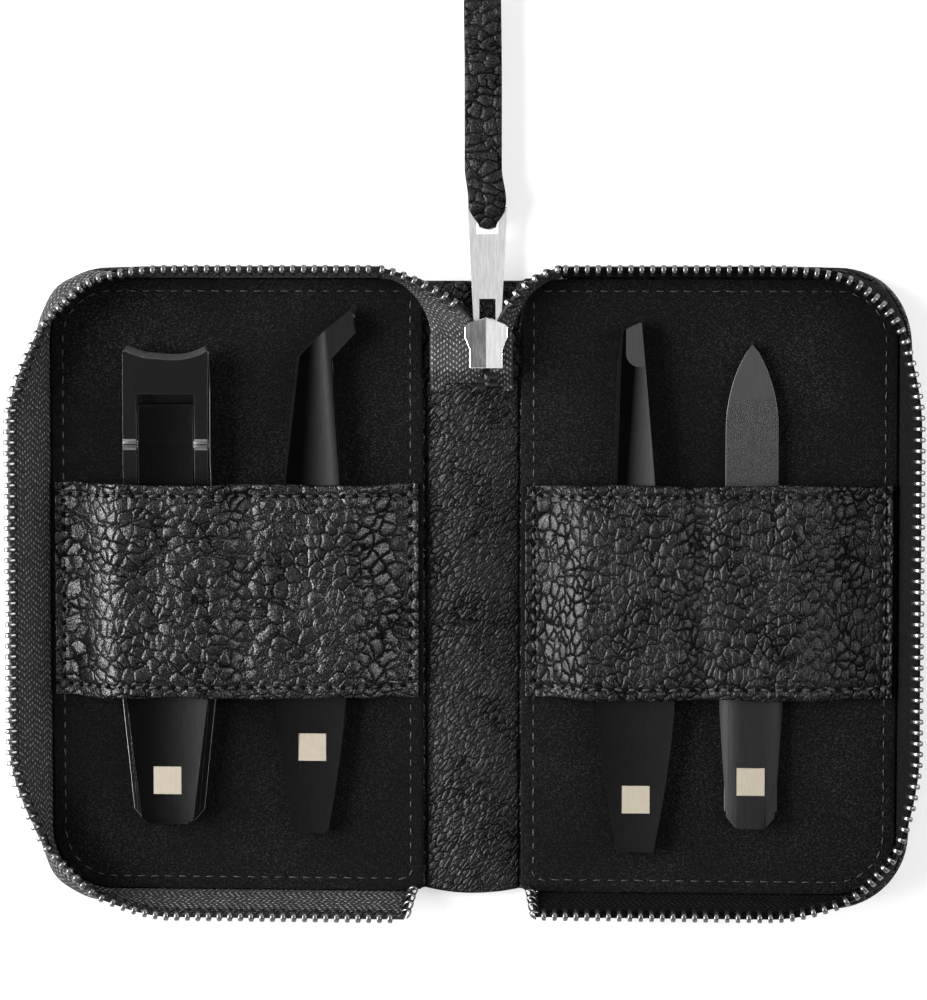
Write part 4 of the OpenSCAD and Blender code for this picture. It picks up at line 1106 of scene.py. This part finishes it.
def buildZipEnd(side, tooth):
    h = zipEnd
    flip = np.array([side, 1, 1])
    offset, height = tapeAt(0.0, 1.0, side)
    tip = np.array([side * h["chainX"] + h["tipX"], h["partingY"] + h["tipY"], h["chainZ"]])
    rim = np.array([case["zipTopX"] - 0.05, case["edgeY"] + float(offset), float(height)])
    plainTip = np.array([h["plainX"], h["partingY"] + h["plainY"], h["chainZ"]])
    plainRim = np.array([rim[0], case["edgeY"] + case["tapeOut"], case["liningTop"] + h["plainRise"]])
    row = [tip, tip + h["rowPulls"][0], rim + h["rowPulls"][1], rim]
    plain = [plainTip, plainTip + h["plainPulls"][0], plainRim + h["plainPulls"][1], plainRim]

    ts, shares = np.linspace(0, 1, 40), np.linspace(0, 1, 9)
    a, b = bezier(row, ts), bezier(plain, ts)
    ahead, run = unitRows(np.gradient(a, axis=0)), runAlong(a)
    thick = h["thick"] + h["cord"] * np.exp(-(shares / h["cordSpread"]) ** 2)[:, None]
    rings, uv = [], []
    for i, t in enumerate(ts):
        across = b[i] - a[i]
        normal = np.cross(ahead[i], across)
        normal = normal / max(np.linalg.norm(normal), 1e-6)
        belly = h["belly"] * np.sin(np.pi * shares) * math.sin(np.pi * t)
        line = a[i] + across * shares[:, None] + normal * belly[:, None]
        rings.append(np.vstack([line + normal * thick, (line - normal * thick)[::-1]]) * flip)
        width = thereAndBack(np.linalg.norm(across) * shares)
        uv.append(np.column_stack([np.full(len(width), run[i]), width]) * 0.001)
    tape = sweepLoops(sides[side] + "_tape_end", rings, zipTape, uv)

    t = np.linspace(*h["teeth"], 60)
    places = bezier(row, t)
    along = unitRows(np.gradient(places, axis=0))
    up = squareTo(along, places - bezier(plain, t))
    teeth = repeatPattern(sides[side] + "_end_teeth", (places + up * zipTooth["lift"]) * flip, along * flip,
                          up * flip, tooth, metal["tooth nickel"], case["pitch"], 0.02, 0.05, seed=71)
    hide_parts(sides[side] + "_zip_end")
    for piece in (tape, teeth):
        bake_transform(piece)


for side in sides:
    buildZipEnd(side, tooth)


# The tail of each tape at the foot of the spine: it folds inwards and tucks under the cover's corner. Its
# first tooth lies so much of a pitch past the end of the cover's tape.
zipTail = {
    "long": 1.7, "inwards": 0.9, "belly": 0.25, "half": 0.2, "footZ": 2.9, "rise": 0.5, "drop": 1.3,
    "mapStep": 0.00025, "mapWidth": 0.007, "start": {-1: 0.75, 1: 0.25},
}


def buildTail(side, tooth):
    h = zipTail
    share = np.linspace(0, 1, 9)
    offset, height = zip(*[tapeAt(rimRun, u, side) for u in share])
    offset, height = np.array(offset, float), np.array(height, float)
    rings, uv, crest, foot = [], [], [], []
    for i, t in enumerate(np.linspace(0, 1, 14)):
        e = float(ease(t))
        belly = h["belly"] * np.sin(np.pi * share) * math.sin(np.pi * t)
        x = np.full(len(share), side * (case["zipBottomX"] + 0.05 - h["long"] * t))
        y = -(case["edgeY"] + offset * (1 - e) - h["inwards"] * e + belly)
        z = mix(height, h["footZ"] + h["rise"] * share, e ** h["drop"])
        inner, outer = [np.column_stack([x, y + out, z]) for out in (h["half"], -h["half"])]
        rings.append(np.vstack([inner, outer[::-1]]))
        uv.append([(i * h["mapStep"], u * h["mapWidth"]) for u in thereAndBack(share)])
        crest.append((x[-1], y[-1], z[-1]))
        foot.append((x[0], y[0], z[0]))
    tail = sweepLoops(sides[side] + "_tape_tail", rings, zipTape, uv)
    crest, foot = np.array(crest), np.array(foot)
    along = unitRows(np.gradient(crest, axis=0))
    up = squareTo(along, unitRows(crest - foot + [0, 0, 0.6]))
    run = runAlong(crest)
    spots = np.arange(case["pitch"] * h["start"][side], run[-1], case["pitch"])
    places, along, up = [np.column_stack([np.interp(spots, run, v[:, k]) for k in range(3)])
                         for v in (crest, along, up)]
    teeth = repeatPattern(sides[side] + "_tail_teeth", places, along, up, tooth, metal["tooth nickel"],
                          case["pitch"], 0.04, 0.1, seed=83, given=True)
    for piece, slot in ((tail, "tape"), (teeth, "nickel")):
        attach(piece, sides[side] + "_cover")


for side in sides:
    buildTail(side, tooth)


# The joined tape under the slider: it is sewn to the spine at its lower end and ramps up to the chain
spineTape = {
    "half": 7.4, "gap": 0.56, "low": 35.2, "ramp": 39.1, "high": 45.4, "seat": 2.05, "raised": 5.40,
    "thick": 0.45, "droop": 0.16, "droopFrom": 4.0,
}


def buildSpineTape():
    h = spineTape
    ys = np.concatenate([np.linspace(h["low"], h["ramp"], 14), np.linspace(h["ramp"] + 0.4, h["high"], 10)])
    rise = mix(h["seat"], h["raised"], ease((ys - h["low"] - 0.4) / (h["ramp"] - h["low"])))
    halves = {"left": np.linspace(-h["half"], zipEnd["chainX"] - h["gap"], 14),
              "right": np.linspace(zipEnd["chainX"] + h["gap"], h["half"], 8)}
    made = []
    for label, xs in halves.items():
        grid, uv = [], []
        for x in xs:
            far = x - zipEnd["chainX"]
            droop = h["droop"] * max(abs(far) - h["droopFrom"], 0) * ease((ys - h["low"] - 1) / 3)
            grid.append(np.column_stack([np.full(len(ys), x), ys, rise - droop]))
            uv.append(np.column_stack([ys, np.full(len(ys), far)]) * 0.001)
        made.append(sheetSolid("spine_tape_" + label, np.array(grid), 0.0, h["thick"], zipTape, uv=uv))
    for piece in made:
        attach(piece, "spine")
    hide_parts("spine_zip_tape")


buildSpineTape()
print("zip ends ready")


# The pull strap: one leather strip led through the puller's eye and doubled back on itself. Its route has
# the place along the case, the height and the strip's width there, from the front tip round to the back one.
strap = {
    "full": 6.6, "thick": 1.22, "centre": 2.8, "tip": 105.8, "slant": 2.7, "slantRun": 12, "crown": 0.16,
    "fold": 0.5, "rough": 0.07, "drift": (0.75, 69, 6), "tipDrift": (0.15, 90, 16),
    "route": [(105.8, 3.62, 6.60), (96, 3.62, 6.62), (86, 3.66, 6.62), (78, 3.68, 6.60),
              (73.5, 3.72, 6.62), (71.6, 3.90, 6.70), (70.6, 4.30, 6.75), (69.6, 4.62, 6.75),
              (68.4, 4.60, 6.70), (67.3, 4.25, 6.30), (66.4, 3.75, 5.20), (65.6, 3.25, 3.95),
              (65.1, 2.85, 3.25), (64.95, 2.40, 3.10), (65.3, 1.92, 3.2), (66.2, 1.56, 3.4),
              (67.4, 1.46, 4.1), (69.0, 1.60, 5.3), (71.0, 1.95, 6.3), (74, 2.16, 6.5),
              (86, 2.2, 6.5), (96, 2.2, 6.5), (105.8, 2.2, 6.45)],
}


def buildStrap():
    h = strap
    spots = np.array(h["route"])
    dense = np.linspace(0, len(spots) - 1, 8 * (len(spots) - 1) + 1)
    path = np.column_stack([np.interp(dense, np.arange(len(spots)), spots[:, k]) for k in range(3)])
    for _ in range(3):
        path[1:-1] = (path[:-2] + 2 * path[1:-1] + path[2:]) / 4
    step, run = unitRows(np.gradient(path[:, :2], axis=0)), runAlong(path[:, :2])
    over = [(t, 1) for t in np.linspace(-0.95, 0.95, 13)]
    section = [(-1, -0.75), (-1, 0.4), *over, (1, 0.4), (1, -0.75), *[(-t, -v) for t, v in over]]

    def drift(y, amount, start, reach):
        return amount * float(ease((y - start) / reach))

    rings, uv = [], []
    for (y, z, w), (ty, tz), length in zip(path, step, run):
        lean = drift(y, *h["drift"]) + drift(y, *h["tipDrift"])
        slant = h["slant"] * min(max((y - h["tip"] + h["slantRun"]) / h["slantRun"], 0), 1)
        ring, places = [], []
        for t, v in section:
            x = t * w / 2
            crown = (h["crown"] + h["fold"] * max(1 - w / h["full"], 0)) * (1 - t * t)
            rough = h["rough"] * noise.noise(Vector((x * 0.8, length * 0.5, v * 0.4)))
            out = v * h["thick"] / 2 + (crown + rough if v > 0 else crown * 0.4)
            ring.append((h["centre"] - lean + x, y + tz * out + slant * t / 2, z - ty * out))
            places.append((x * 0.001, length * 0.001))
        rings.append(ring)
        uv.append(places)
    piece = sweepLoops("strap_hide", rings, leather["strap"], uv)
    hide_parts("pull_strap")
    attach(piece, "strap")


buildStrap()
print("strap ready")


# Each metal node: its finish, the width of its broken edges, and its slot
# The angled, slant, file and lever steels carry painted sheen in their base colour
tools = {
    "slider_body": ("nickel", 0.09, "nickel"), "puller": ("nickel", 0.12, "nickel"),
    "clipper_base_leaf": ("black steel", 0.10, "black_steel"),
    "clipper_upper_leaf": ("black steel", 0.10, "black_steel"),
    "clipper_axle": ("nickel", 0.06, "nickel"), "clipper_lever": ("lever steel", 0.12, "black_steel"),
    "angled_rear_arm": ("black steel", 0.10, "black_steel"),
    "angled_front_arm": ("angled steel", 0.14, "black_steel"),
    "slant_rear_arm": ("black steel", 0.10, "black_steel"),
    "slant_front_arm": ("slant steel", 0.14, "black_steel"),
    "file_blade": ("file blade steel", 0.10, "black_steel"),
    "file_handle": ("file steel", 0.14, "black_steel"),
    "file_grit": ("file grit", 0.0, "grit"), "clipper_inlay": ("pale inlay", 0.0, "inlay"),
    "angled_inlay": ("pale inlay", 0.0, "inlay"), "slant_inlay": ("pale inlay", 0.0, "inlay"),
    "file_inlay": ("pale inlay", 0.0, "inlay"),
}
# What only some nodes have: a lower crease angle in degrees, and rounded upright corners in millimetres
creaseOf, cornerOf = {"slider_body": 9}, {"puller": 0.55}

# The clipper's jaw, which is ground hollow, and its jaw end and the slopes beside its leaves, which take a
# painted highlight: places and least steepness
clipper = {
    "middle": -55.6, "jawHalf": 7.6, "jawFrom": 39.5, "flatter": 0.75, "edgeFrom": 40, "edgeSteep": 0.4,
    "slopes": (23.7, 27.2), "slopesFrom": 4.9, "slopeSteep": 0.05,
}
# The angled tip: from where its side and then its point are drawn in, and to which places across
point = {"sideFrom": 45.3, "side": (-20.7, -21.0), "tipFrom": 48.3, "tip": -21.4, "run": 1.2, "longer": 0.55}


# The jaw's hollow is ground a little flatter
def flatterJaw(x, y, z):
    h = clipper
    return x, y + h["flatter"] * max(1 - abs(x - h["middle"]) / h["jawHalf"], 0) * (y > h["jawFrom"]), z


# The angled tweezers end in a sharp point over a slanted side
def sharpTip(x, y, z):
    h = point
    if y > h["tipFrom"]:
        u = min((y - h["tipFrom"]) / h["run"], 1)
        x, y = mix(x, h["tip"], float(ease(u))), y + h["longer"] * u
    elif y > h["sideFrom"]:
        x = min(x, mix(*h["side"], (y - h["sideFrom"]) / (h["tipFrom"] - h["sideFrom"])))
    return x, y, z


reshapeOf = {"clipper_base_leaf": flatterJaw, "clipper_upper_leaf": flatterJaw,
             "angled_rear_arm": sharpTip, "angled_front_arm": sharpTip}


# The end of the clipper's jaw and the slopes beside its leaves take the brighter steel as a painted highlight
def takesPaintedHighlight(place, normal):
    h = clipper
    x, y = place.x * 1000, place.y * 1000
    if y > h["edgeFrom"]:
        return normal.y > h["edgeSteep"]
    low, high = h["slopes"]
    return (low < y < high and abs(x - h["middle"]) > h["slopesFrom"]
            and abs(normal.y) > h["slopeSteep"] < normal.z)


# A merged copy of a CAD node with its sharp edges broken; on black steel, bar the file blade, the broken
# edges take the brighter steel as a painted edge highlight
def finishNode(node, finish, edge, slot):
    # the brighter steel that paints a highlight on the broken edges
    rim = metal["painted edge highlight"] if slot == "black_steel" and node != "file_blade" else None
    mesh = bmesh.new()
    mesh.from_mesh(frame["nodes"][node].data)
    if node in reshapeOf:
        for vertex in mesh.verts:
            vertex.co = Vector(reshapeOf[node](*(vertex.co * 1000))) * 0.001
    bmesh.ops.remove_doubles(mesh, verts=mesh.verts, dist=2e-6)
    if node in cornerOf:
        uprights = [e for e in mesh.edges if e.calc_face_angle(0) > 1
                    and abs(e.verts[0].co.z - e.verts[1].co.z) > 0.95 * e.calc_length()]
        bmesh.ops.bevel(mesh, geom=uprights, offset=cornerOf[node] * 0.001, segments=4, profile=0.5,
                        affect="EDGES", clamp_overlap=True)
    data = bpy.data.meshes.new(node + " finished")
    mesh.to_mesh(data)
    mesh.free()
    data.materials.append(metal[finish])
    if rim:
        data.materials.append(rim)
    piece = bpy.data.objects.new(node + "_metal", data)
    scene.collection.objects.link(piece)
    if edge:
        bevel = piece.modifiers.new("broken edges", "BEVEL")
        bevel.width, bevel.segments, bevel.limit_method = edge * 0.001, 2, "ANGLE"
        bevel.angle_limit = math.radians(28)
        bevel.material = 1 if rim else -1
        applyModifiers(piece)
    piece.data.shade_smooth()
    piece.data.set_sharp_from_angle(angle=math.radians(creaseOf.get(node, 35)))
    even = piece.modifiers.new("even normals", "WEIGHTED_NORMAL")
    even.keep_sharp = True
    applyModifiers(piece)
    # on the clipper, the jaw end and the slopes beside the leaves take that painted highlight as well
    if node.startswith("clipper") and rim:
        for face in piece.data.polygons:
            if takesPaintedHighlight(face.center, face.normal):
                face.material_index = 1
    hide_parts(node)
    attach(piece, bodyOf[node])


bodyOf = {n: b for b, ns in frame["record"]["behaviour"]["bodies"].items() for n in ns}
for node, (finish, edge, slot) in tools.items():
    finishNode(node, finish, edge, slot)

# These nodes keep their own shape
plainNodes = {"clipper_rivet": metal["black steel"], "closed_teeth": metal["tooth nickel"],
              "left_board": suede, "right_board": suede}
for node, material in plainNodes.items():
    frame["nodes"][node].data.materials.clear()
    frame["nodes"][node].data.materials.append(material)
print("tools ready")

# The patterns are no longer needed, since every copy is a mesh of its own
for pattern in (tooth, liningStitch, bandStitch, stitchHoleShade):
    bpy.data.objects.remove(pattern)

scene.view_settings.view_transform = "Standard"
